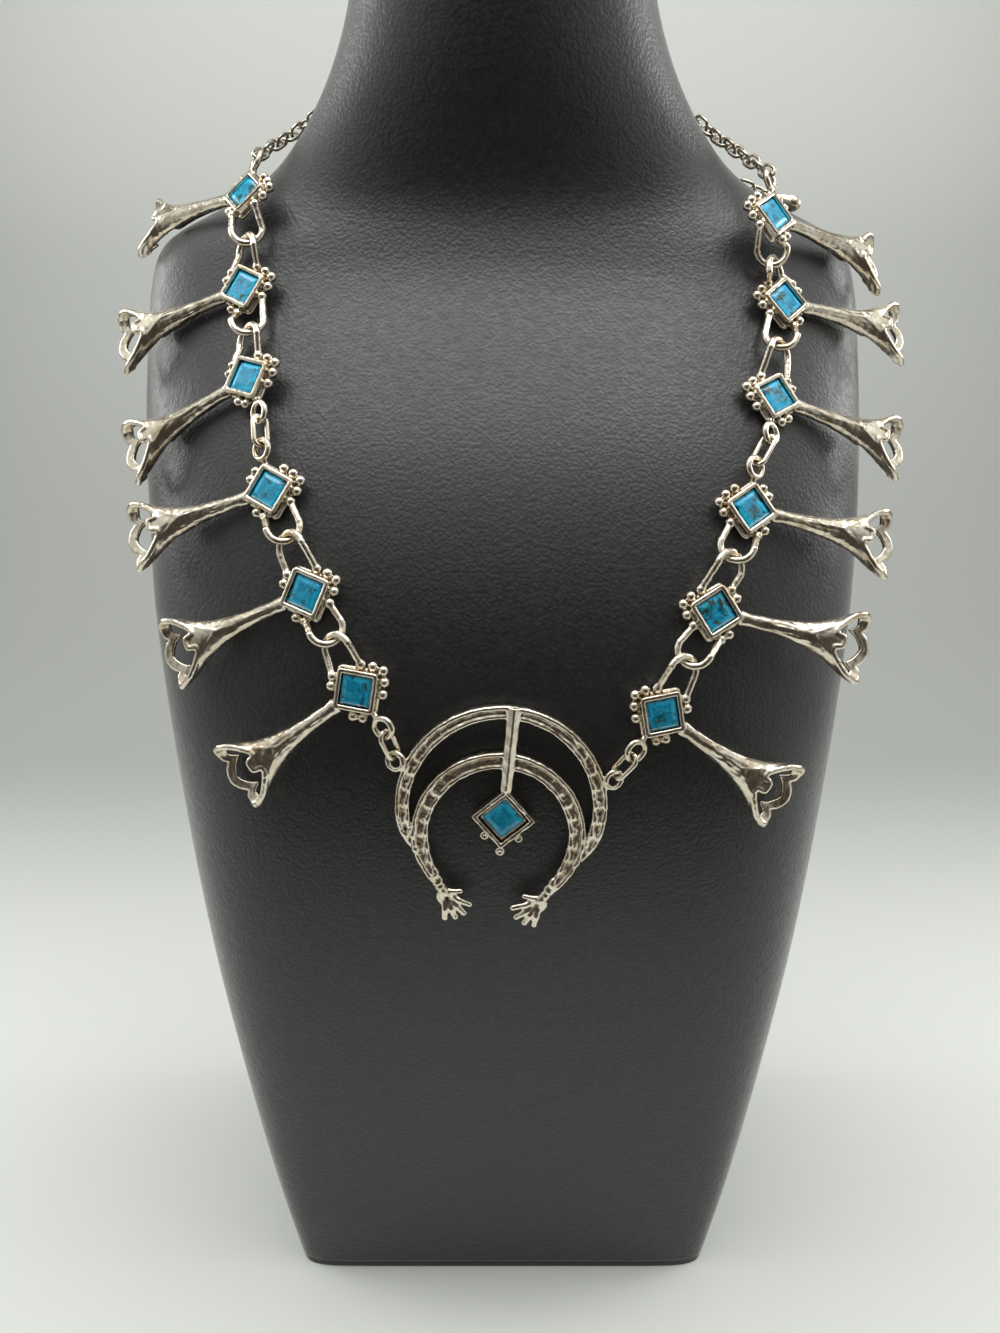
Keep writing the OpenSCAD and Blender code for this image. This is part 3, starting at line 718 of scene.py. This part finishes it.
def flower_skin():
    """Front half of the flower, from the tube to its rim."""
    rows, columns = 10, 72
    sunk = 0.35

    def place(row, column):
        degrees = -HALF_OVERLAP + (180 + 2 * HALF_OVERLAP) * column / columns
        end = between(PETALS, folded(degrees))[1] - RIM_SHORT
        u = FLOWER_START + (end - FLOWER_START) * row / rows
        return horn_place(u, math.radians(degrees), sunk if row == 0 else -WALL_PROUD)

    obj = shaped_grid("flower", rows, columns, place)
    modify(obj, "SOLIDIFY", thickness=SKIN_THICK, offset=1)
    return obj


def flower_band():
    """Band round the back of the flower, open behind."""
    rows, columns = 3, 72

    def place(row, column):
        degrees = -180 - HALF_OVERLAP + (180 + 2 * HALF_OVERLAP) * column / columns
        inner, outer = between(PETALS, folded(degrees))
        u = inner + (outer - RIM_SHORT - inner) * row / rows
        return horn_place(u, math.radians(degrees), -WALL_PROUD)

    obj = shaped_grid("band", rows, columns, place)
    modify(obj, "SOLIDIFY", thickness=BAND_THICK, offset=1)
    return obj


def flower_lip():
    """Bead on the rim, right round the mouth."""
    steps = 120
    path = []
    for k in range(steps + 1):
        degrees = -90 + 360 * k / steps
        outer = between(PETALS, folded(degrees))[1]
        path.append(horn_place(outer - LIP_LOW, math.radians(degrees), LIP_IN))
    return tube("lip", path, [LIP_R] * len(path))


def flower_ridges():
    """Ridge along the front of the tube that splits into a Y toward the lobes."""
    parts = []
    stem = [horn_place(u, math.pi / 2, 0.30) for u in np.linspace(8, 26, 14)]
    parts.append(tube("stem", stem, list(np.linspace(0.34, 0.62, 14))))
    for side in (-1, 1):
        arm = []
        for t in np.linspace(0, 1, 12):
            u = 25.2 + 9.3 * t
            degrees = 90 - side * (4 + 62 * t ** 0.85)
            arm.append(horn_place(u, math.radians(degrees), 0.28))
        parts.append(tube("arm", arm, list(np.linspace(0.62, 0.50, 12))))
    return parts


def blossom_master():
    """One blossom without its head, in millimetres, along X."""
    return joined(horn_tube(), flower_skin(), flower_band(), flower_lip(), *flower_ridges())


def without_flower(obj):
    """Takes the plain flower off a copied blossom and closes its tube."""
    pick(obj)
    select_verts(obj, coords(obj)[:, 0] > FLOWER_CUT)
    bpy.ops.mesh.delete(type="VERT")
    finish_edit()
    close_holes(obj)


def bark(seed, hammer, depth):
    """Depth of the cast texture at a place on a blossom."""
    shift = Vector((seed * 7.3, seed * 3.1, seed * 5.7))

    def at(p):
        q = p + shift
        dents = CAST_LOSS + noise.noise(q * 0.75) * hammer
        if p.x < BARK_START:
            return dents + HEAD_GAIN + noise.noise(q * 1.6) * hammer * 0.25
        share = ramp(p.x, BARK_START, 3) * (1.0 - 0.9 * ramp(p.x, BARK_FADE, 8))
        grain = noise.noise(Vector((q.x * 0.20, q.y * 1.3, q.z * 1.3)))
        fine = noise.noise(Vector((q.x * 0.45, q.y * 2.1, q.z * 2.1)))
        return dents + share * depth * (grain + 0.5 * fine)

    return at


def make_blossoms():
    props = bpy.context.scene.necklace_silver
    silver = silver_material("cast_silver")
    master = blossom_master()
    for s, side in enumerate(SIDES):
        for i in STATIONS:
            node = f"blossom_{side}_{i}"
            matrix = head_matrix(side, i)
            head = node_copy(node, "head", matrix.inverted())
            without_flower(head)
            piece = joined(head, twin(master, "horn_copy"))
            piece.name = "cast_" + node
            cast(piece, props.voxel, smoothing=2)
            shifted(piece, bark(i + 6 * s, props.hammer, props.bark))
            mark_recesses(piece, (8, 0.27), (50, 2.6))
            settle(piece, silver, "silver", node, matrix=matrix)
    bpy.data.objects.remove(master)


# Stones
def make_stones():
    """The stones keep their CAD facets, with softened edges, and hold how near each point lies to
    the corners from the table outwards, for a painted reflection on the outer facets and painted
    shade on the table."""
    turquoise = turquoise_material()
    for node in [f"stone_{side}_{i}" for side in SIDES for i in STATIONS] + ["naja_stone"]:
        piece = node_copy(node, "cut_" + node, TO_MM)
        modify(piece, "BEVEL", width=0.1, segments=2, limit_method="ANGLE",
               angle_limit=math.radians(6))
        reach = np.linalg.norm(coords(piece) - coords(piece).mean(0), axis=1)
        # Share of the band from the table to the corners, which the material uses for a painted
        # reflection and painted shade
        store(piece, "painted_light_band", np.clip((reach / reach.max() - TABLE_SHARE) / (1 - TABLE_SHARE), 0, 1))
        settle(piece, turquoise, "turquoise", node, matrix=FROM_MM, crisp=5)


# Naja
def band(name, middle_y, outer, widths, steps, sink=0.0):
    """One crescent: its outer radius is a function of the angle from its top, widths is a
    table of angles and widths, and its ends sink by a share of its height."""
    def place(row, column):
        degrees = -CRESCENT_END + 2 * CRESCENT_END * row / steps
        wide = float(np.interp(abs(degrees), *widths))
        soft = min(1.0, wide / 2.6)
        across, height = BAND_PROFILE[column % len(BAND_PROFILE)]
        across = across * soft if across >= 0 else wide + across * soft
        reach = outer(abs(degrees)) - wide + across
        turn = math.radians(90 - degrees)
        height *= 1 - sink * ramp(abs(degrees), 100, 20)
        return (reach * math.cos(turn), middle_y + reach * math.sin(turn), height)

    return shaped_grid(name, steps, len(BAND_PROFILE), place, closed=True)


def crescents():
    """Outer crescent, whose ends draw in and sink, and inner crescent."""
    outer = band(
        "outer_crescent", 0.0, lambda a: CRESCENT_R - 2.3 * max(0.0, (a - 104) / 31) ** 1.6,
        ((0, 60, 100, CRESCENT_END), (3.4, 3.9, 3.6, 1.7)), 150, sink=0.45)
    inner = band(
        "inner_crescent", INNER_Y, lambda a: INNER_R - 0.5 * max(0.0, (a - 100) / 34),
        ((0, 60, 105, CRESCENT_END), (4.3, 4.5, 4.2, 2.7)), 130)
    return outer, inner


def naja_bar():
    """Bar from the outer crescent to the frame of the stone, with a ridge along it."""
    steps = 24
    top, low = CRESCENT_R - 0.3, 4.6
    profile = (
        (-1, 0.9), (-1, 2.5), (-0.62, 2.95), (0, 3.55), (0.62, 2.95), (1, 2.5), (1, 0.9))

    def place(row, column):
        share = row / steps
        across, height = profile[column % len(profile)]
        half = 1.75 - 0.35 * share
        return (NAJA_STONE_AT[0] + across * half, top + (low - top) * share, height)

    return shaped_grid("bar", steps, len(profile), place, closed=True)


def square_cup(name, side, wall, low, high, floor):
    """Square setting on its corner, sunk inside its wall."""
    deselect()
    x, y = NAJA_STONE_AT
    bpy.ops.mesh.primitive_cylinder_add(
        vertices=4, radius=side / math.sqrt(2), depth=high - low,
        location=(x, y, (low + high) / 2))
    obj = made_object(name)
    bpy.ops.object.transform_apply(location=True, rotation=True, scale=True)
    bpy.ops.object.mode_set(mode="EDIT")
    bpy.ops.mesh.select_all(action="DESELECT")
    finish_edit()
    for face in obj.data.polygons:
        face.select = face.normal.z > 0.9
    bpy.ops.object.mode_set(mode="EDIT")
    bpy.ops.mesh.select_mode(type="FACE")
    bpy.ops.mesh.inset(thickness=wall)
    bpy.ops.mesh.extrude_region_move(TRANSFORM_OT_translate={"value": (0, 0, floor - high)})
    finish_edit()
    return obj


def ball(name, place, size):
    deselect()
    bpy.ops.mesh.primitive_uv_sphere_add(segments=24, ring_count=14, radius=1, location=(0, 0, 0))
    obj = made_object(name)
    set_coords(obj, coords(obj) * np.array(size) + np.array(place))
    return obj


def torus(name, around, sides, radius, wire):
    """Ring of round wire, flat round the middle."""
    deselect()
    bpy.ops.mesh.primitive_torus_add(
        major_segments=around, minor_segments=sides, major_radius=radius, minor_radius=wire,
        location=(0, 0, 0))
    return made_object(name)


def naja_frame():
    """Square frame with the setting in it, and the balls on their stalks."""
    x, y = NAJA_STONE_AT
    parts = [square_cup("frame", side=11.5, wall=1.0, low=0.0, high=3.1, floor=1.0),
             square_cup("setting", side=STONE_SIDE + 0.7, wall=0.3, low=0.5, high=2.5, floor=1.1)]
    for across, up in FRAME_BALLS:
        parts.append(ball("ball", (x + across, y + up, 1.4), (BALL_R,) * 3))
        stalk = [(x + across * 0.8, y + up * 0.8, 1.2), (x + across, y + up, 1.3)]
        parts.append(tube("stalk", stalk, [0.6, 0.6]))
    return parts


def hand(side):
    """Open hand with a hollow palm, a collar at the wrist and five fingers."""
    def along(share):
        return [w + (p - w) * share for w, p in zip(WRIST, PALM)]

    parts = [tube("wrist", [WRIST, along(0.42), PALM], [1.45, 1.25, 1.5], 14)]
    for share in COLLARS:
        parts.append(tube("collar", [along(share - 0.035), along(share + 0.035)], [1.55, 1.5], 14))
    parts.append(ball("palm", PALM, (2.75, 2.6, 1.1)))
    for root_x, root_y, tip_x, tip_y, thick in FINGERS:
        knuckle = (root_x + (tip_x - root_x) * 0.5, root_y + (tip_y - root_y) * 0.5, 1.65)
        parts.append(tube("finger", [(root_x, root_y, 1.3), knuckle, (tip_x, tip_y, 1.25)],
                          [thick, thick, thick * 0.86]))
        parts.append(ball("tip", (tip_x, tip_y, 1.25), (thick * 0.92,) * 3))
    for part in parts:
        if side < 0:
            set_coords(part, coords(part) * np.array((-1, 1, 1)))
            part.data.flip_normals()
    return parts


def side_ring(side):
    """Ring at the side of the outer crescent, that a link hangs from."""
    x, y, z = SIDE_RING_AT
    obj = torus("ring", 32, 12, SIDE_RING_R, SIDE_RING_WIRE / 2)
    tilt = Matrix.Rotation(side * math.radians(RING_TILT), 4, "Y")
    obj.data.transform(Matrix.Translation((side * x, y, z)) @ tilt)
    return obj


def naja_relief(seed, hammer):
    """Hammering of the crescents, the beads in their channels and the hollow palms."""
    shift = Vector((seed * 2.9, seed * 4.3, seed))
    beads = []
    for middle_y, reach, count, end in BEAD_ROWS:
        for k in range(count):
            degrees = -end + 2 * end * k / (count - 1)
            wander = noise.noise(Vector((k * 1.7, reach, seed)))
            other = noise.noise(Vector((k * 2.3, reach + 9, seed)))
            turn = math.radians(90 - degrees - 2.0 * other)
            strength = min(1.0, max(0.2, (abs(degrees) - 30) / 25)) * (0.8 + 0.7 * other)
            near = reach + 0.5 * wander
            beads.append((near * math.cos(turn), middle_y + near * math.sin(turn),
                          1.2 + 0.35 * wander, max(0.0, strength)))
    beads = np.array(beads)

    def at(p):
        q = p + shift
        rough = CAST_LOSS + hammer * (2.2 * noise.noise(q * 0.45) + 0.3 * noise.noise(q * 1.5))
        if p.z < 1.1:
            return rough
        hollow = ((abs(p.x) - HOLLOW_AT[0]) ** 2 + (p.y - HOLLOW_AT[1]) ** 2) / 1.9
        if hollow < 6:
            rough -= 0.85 * math.exp(-hollow)
        for across, up in FRAME_BALLS:
            pit = (p.x - NAJA_STONE_AT[0] - across) ** 2 + (p.y - NAJA_STONE_AT[1] - up) ** 2
            if pit < 2:
                rough -= 0.55 * math.exp(-pit / 0.2)
        on_band = abs(p.x - NAJA_STONE_AT[0]) > 2.3 or p.z < 2.4
        if on_band and p.y > -24:
            away = ((beads[:, 0] - p.x) ** 2 + (beads[:, 1] - p.y) ** 2) / beads[:, 2] ** 2
            near = int(away.argmin())
            rough += 0.5 * beads[near, 3] * math.exp(-float(away[near]) ** 2)
            rough += 0.09 * noise.noise(q * 0.85)
        return rough

    return at


def make_naja():
    props = bpy.context.scene.necklace_silver
    silver = silver_material("cast_silver")
    parts = [*crescents(), naja_bar(), *naja_frame()]
    for side in (-1, 1):
        parts += hand(side)
        parts.append(side_ring(side))
    piece = joined(*parts)
    piece.name = "cast_naja"
    cast(piece, props.voxel, smoothing=2)
    shifted(piece, naja_relief(3, props.hammer))
    mark_recesses(piece, (8, 0.26), (60, 1.5))
    settle(piece, silver, "silver", "naja", matrix=naja_matrix())


# Chain, links, clasp and drop
def loose_parts(node):
    """Points of each loose solid of a CAD node, in millimetres."""
    obj = node_copy(node, "loose", TO_MM)
    edit_all(obj)
    bpy.ops.mesh.separate(type="LOOSE")
    finish_edit()
    parts = list(bpy.context.selected_objects)
    found = [coords(p) for p in parts]
    for part in parts:
        bpy.data.objects.remove(part)
    return sorted(found, key=lambda points: tuple(points.mean(0)))


def own_axes(points):
    """Middle, axes and size of an oval link, its long way first."""
    middle = (points.max(0) + points.min(0)) / 2
    for _ in range(3):
        spread = np.cov((points - middle).T)
        axes = np.linalg.eigh(spread)[1][:, ::-1].T
        axes[2] = np.cross(axes[0], axes[1])
        local = (points - middle) @ axes.T
        middle = middle + (local.max(0) + local.min(0)) / 2 @ axes
    local = (points - middle) @ axes.T
    return middle, axes, local.max(0) - local.min(0)


def wire_link(name, points, around, sides):
    """Oval link of round wire in the place of a CAD link, with its soldered joint."""
    middle, axes, size = own_axes(points)
    wire = size[2] / 2
    radius = size[1] / 2 - wire
    stretch = (size[0] - size[1]) / 2
    obj = torus(name, around, sides, radius, wire)
    ring = coords(obj)
    swell = np.exp(-((ring[:, 0] / (wire * JOINT_REACH)) ** 2)) * (ring[:, 1] > 0)
    ring[:, 2] *= 1 + JOINT_SWELL * swell
    ring[:, 0] += np.sign(np.round(ring[:, 0], 4)) * stretch
    set_coords(obj, ring @ axes + middle)
    return obj


def make_chains():
    """Chains of both sides and the extender, a piece each."""
    chain_silver = silver_material("wire_silver")
    for node in ("chain_left", "chain_right", "extender_chain"):
        piece = joined(*[wire_link("link", points, 20, 8) for points in loose_parts(node)])
        piece.name = "wire_" + node
        mark_recesses(piece, (3, 0.5))
        settle(piece, chain_silver, "chain_silver", node, matrix=FROM_MM)


def make_links():
    """Oval links between the stations and at the naja."""
    silver = silver_material("cast_silver")
    for node in ("oval_link_left", "oval_link_right", "naja_link_left", "naja_link_right"):
        piece = wire_link("wire_" + node, loose_parts(node)[0], 48, 16)
        mark_recesses(piece, (4, 0.5))
        settle(piece, silver, "silver", node, matrix=FROM_MM)


def make_clasp():
    """The clasp and the drop keep their CAD form, cast smooth."""
    chain_silver = silver_material("wire_silver")
    silver = silver_material("cast_silver")
    clasp = node_copy("clasp", "wire_clasp", TO_MM)
    cast(clasp, 0.15, smoothing=3)
    mark_recesses(clasp, (10, 0.3))
    settle(clasp, chain_silver, "chain_silver", "clasp", matrix=FROM_MM)
    drop = node_copy("extender_drop", "cast_extender_drop", TO_MM)
    cast(drop, 0.2, smoothing=3)
    shifted(drop, lambda p: 0.05 * noise.noise(p * 0.9))
    mark_recesses(drop, (14, 0.2))
    settle(drop, silver, "silver", "extender_drop", matrix=FROM_MM)


# Bust
def make_bust():
    """The bust is smoothed from its CAD faces, with the edges of its foot and of its top
    kept sharp."""
    leather = leather_material()
    piece = node_copy("neck_bust", "leather_neck_bust")
    edit_all(piece)
    bpy.ops.mesh.tris_convert_to_quads(
        face_threshold=math.radians(30), shape_threshold=math.radians(60))
    finish_edit()
    points = coords(piece)
    top = points[:, 2].max()
    sharp = []
    for edge in piece.data.edges:
        heights = points[list(edge.vertices), 2]
        level = abs(heights[0] - heights[1]) < 1e-5
        at_end = heights[0] < FOOT_HEIGHT or heights[0] > top - 1e-4
        sharp.append(FOOT_CREASE if level and at_end else 0.0)
    store(piece, "crease_edge", sharp, "EDGE")
    modify(piece, "SUBSURF", levels=3, render_levels=3)
    settle(piece, leather, "leather", "neck_bust")


# Floor, light and camera
def area_light(name, place, aim, size, power):
    """Soft lamp at a place, turned to what it aims at. Its power is in watts."""
    deselect()
    bpy.ops.object.light_add(type="AREA", location=place)
    lamp = made_object(name)
    lamp.data.shape = "RECTANGLE"
    lamp.data.size, lamp.data.size_y = size
    lamp.data.energy = power
    lamp.rotation_euler = (Vector(aim) - Vector(place)).to_track_quat("-Z", "Y").to_euler()
    return lamp


def make_floor(props):
    """Pale floor that rises into a backdrop behind the bust, with painted shade that darkens it
    behind the bust and low down.
    """
    deselect()
    bpy.ops.mesh.primitive_plane_add(size=1, location=(0, 0, 0))
    floor = made_object("floor")
    points = coords(floor)
    set_coords(floor, [(4 * x, 0.62 if y > 0 else -0.34, 0) for x, y, z in points])
    select_verts(floor, points[:, 1] > 0)
    bpy.ops.mesh.extrude_region_move(TRANSFORM_OT_translate={"value": (0, 0.25, 2.0)})
    finish_edit()
    modify(floor, "BEVEL", width=0.3, segments=16, limit_method="ANGLE")
    bpy.ops.object.shade_smooth()
    made, tree, shader = new_material("floor_card")
    place = object_place(tree)
    axes = add(tree, "ShaderNodeSeparateXYZ", {"Vector": place}).outputs
    tone = clouds(tree, place, 3.0)["Fac"]
    # Painted shade: the floor and backdrop darken behind the bust and low down, with a little
    # random tone mixed in
    low = fade(tree, axes["Z"], 0.0, 0.5, 1.0, 0.0)
    far = maths(tree, "MULTIPLY", fade(tree, axes["Y"], 0.0, 0.34), low)
    far = maths(tree, "ADD", far, maths(tree, "MULTIPLY", tone, 0.03))
    shaded_floor = [c * 0.5 for c in props.floor]
    link(tree, mixed(tree, far, props.floor, shaded_floor), shader.inputs["Base Color"])
    shader.inputs["Roughness"].default_value = 0.7
    floor.data.materials.append(made)


def make_room():
    """Soft light from the sides, from above and from behind, broken up by noise so that the
    silver has something to reflect. The camera sees a plain pale room."""
    world = bpy.data.worlds.new("studio")
    bpy.context.scene.world = world
    world.use_nodes = True
    tree = world.node_tree
    way = add(tree, "ShaderNodeTexCoord").outputs["Generated"]
    axes = add(tree, "ShaderNodeSeparateXYZ", {"Vector": way}).outputs
    aside = fade(tree, maths(tree, "ABSOLUTE", axes["X"]), 0.45, 0.85, 0.0, 0.7)
    above = fade(tree, axes["Z"], 0.45, 0.80, 0.0, 1.1)
    behind = fade(tree, axes["Y"], -0.1, 0.4, 0.0, 0.6)
    clutter = clouds(tree, way, 2.6, 3.0)["Fac"]
    strength = maths(tree, "ADD", aside, maths(tree, "ADD", above, behind))
    broken = fade(tree, clutter, 0.35, 0.65, 0.25, 1.1)
    strength = maths(tree, "MULTIPLY", strength, broken)
    strength = maths(tree, "ADD", strength, 0.06)
    room = tree.nodes["Background"]
    colour = mixed(tree, fade(tree, strength, 0.06, 0.4), (1.0, 0.86, 0.74), (0.95, 0.97, 0.92))
    seen = add(tree, "ShaderNodeLightPath").outputs["Is Camera Ray"]
    link(tree, mixed(tree, seen, colour, (0.60, 0.62, 0.59)), room.inputs["Color"])
    link(tree, maths(tree, "MAXIMUM", strength, seen), room.inputs["Strength"])


def make_lamps():
    """Lamps over the bust, for the backdrop and at both sides."""
    area_light("light_top", (0, -0.06, 0.85), (0, 0, 0.2), (0.9, 0.40), 4.3)
    area_light("light_wall", (0, 0.40, 1.1), (0, 0.8, 0.75), (1.2, 0.2), 3.8)
    for side in (-1, 1):
        lamp = area_light("light_side", (side * 0.50, 0.0, 0.60), (0, 0, 0.30), (0.3, 0.4), 2.6)
        lamp.visible_glossy = False
        area_light("light_panel", (side * 0.62, 0.22, 0.46), (0, 0, 0.40), (0.4, 0.3), 1.6)


def make_camera(props):
    """Camera of the photograph's angle and framing."""
    bpy.ops.object.camera_add(
        location=props.camera_place, rotation=(math.pi / 2 - props.pitch, 0, 0))
    camera = made_object("camera")
    camera.data.sensor_fit = "VERTICAL"
    camera.data.sensor_height = SENSOR
    camera.data.lens = SENSOR * props.focal_pixels / PICTURE_HEIGHT
    camera.data.clip_start = 0.01
    bpy.context.scene.camera = camera


def make_stage():
    props = bpy.context.scene.necklace_stage
    make_floor(props)
    make_room()
    make_lamps()
    make_camera(props)
    bpy.context.scene.view_settings.view_transform = "Standard"


# One operator for each piece or group of like pieces
class NECKLACE_OT_bust(bpy.types.Operator):
    """Covers the bust with grained leather"""
    bl_idname = "necklace.bust"
    bl_label = "Neck bust"

    def execute(self, context):
        make_bust()
        return {"FINISHED"}


class NECKLACE_OT_blossoms(bpy.types.Operator):
    """Casts the twelve blossoms with their heads, granules and loops"""
    bl_idname = "necklace.blossoms"
    bl_label = "Blossoms"

    def execute(self, context):
        make_blossoms()
        return {"FINISHED"}


class NECKLACE_OT_stones(bpy.types.Operator):
    """Cuts the thirteen turquoise stones"""
    bl_idname = "necklace.stones"
    bl_label = "Stones"

    def execute(self, context):
        make_stones()
        return {"FINISHED"}


class NECKLACE_OT_naja(bpy.types.Operator):
    """Casts the naja with its hammered crescents and hands"""
    bl_idname = "necklace.naja"
    bl_label = "Naja"

    def execute(self, context):
        make_naja()
        return {"FINISHED"}


class NECKLACE_OT_links(bpy.types.Operator):
    """Bends the oval links between the stations and at the naja"""
    bl_idname = "necklace.links"
    bl_label = "Oval links"

    def execute(self, context):
        make_links()
        return {"FINISHED"}


class NECKLACE_OT_chains(bpy.types.Operator):
    """Links the chains of both sides and the extender"""
    bl_idname = "necklace.chains"
    bl_label = "Chains"

    def execute(self, context):
        make_chains()
        return {"FINISHED"}


class NECKLACE_OT_clasp(bpy.types.Operator):
    """Makes the plain clasp and the drop of the extender"""
    bl_idname = "necklace.clasp"
    bl_label = "Clasp and drop"

    def execute(self, context):
        make_clasp()
        return {"FINISHED"}


class NECKLACE_OT_stage(bpy.types.Operator):
    """Lays the floor and sets the light and the camera"""
    bl_idname = "necklace.stage"
    bl_label = "Stage"

    def execute(self, context):
        make_stage()
        return {"FINISHED"}


OPERATORS = (
    NECKLACE_OT_stage, NECKLACE_OT_bust, NECKLACE_OT_blossoms, NECKLACE_OT_stones,
    NECKLACE_OT_naja, NECKLACE_OT_links, NECKLACE_OT_chains, NECKLACE_OT_clasp)
GROUPS = {
    "necklace_bust": NecklaceBust,
    "necklace_silver": NecklaceSilver,
    "necklace_stones": NecklaceStones,
    "necklace_stage": NecklaceStage,
}


class NECKLACE_PT_panel(bpy.types.Panel):
    """Sizes, colours and pieces of the necklace"""
    bl_idname = "NECKLACE_PT_panel"
    bl_label = "Squash Blossom Necklace"
    bl_space_type = "VIEW_3D"
    bl_region_type = "UI"
    bl_category = "Necklace"

    def draw(self, context):
        for name, kind in GROUPS.items():
            box = self.layout.box()
            for key in kind.__annotations__:
                box.prop(getattr(context.scene, name), key)
        for operator in OPERATORS:
            self.layout.operator(operator.bl_idname)


def register():
    for kind in (*GROUPS.values(), *OPERATORS, NECKLACE_PT_panel):
        bpy.utils.register_class(kind)
    for name, kind in GROUPS.items():
        setattr(bpy.types.Scene, name, bpy.props.PointerProperty(type=kind))


def unregister():
    for name in GROUPS:
        delattr(bpy.types.Scene, name)
    for kind in reversed((*GROUPS.values(), *OPERATORS, NECKLACE_PT_panel)):
        bpy.utils.unregister_class(kind)


def main():
    register()
    for operator in OPERATORS:
        family, name = operator.bl_idname.split(".")
        getattr(getattr(bpy.ops, family), name)()


if __name__ == "__main__":
    main()
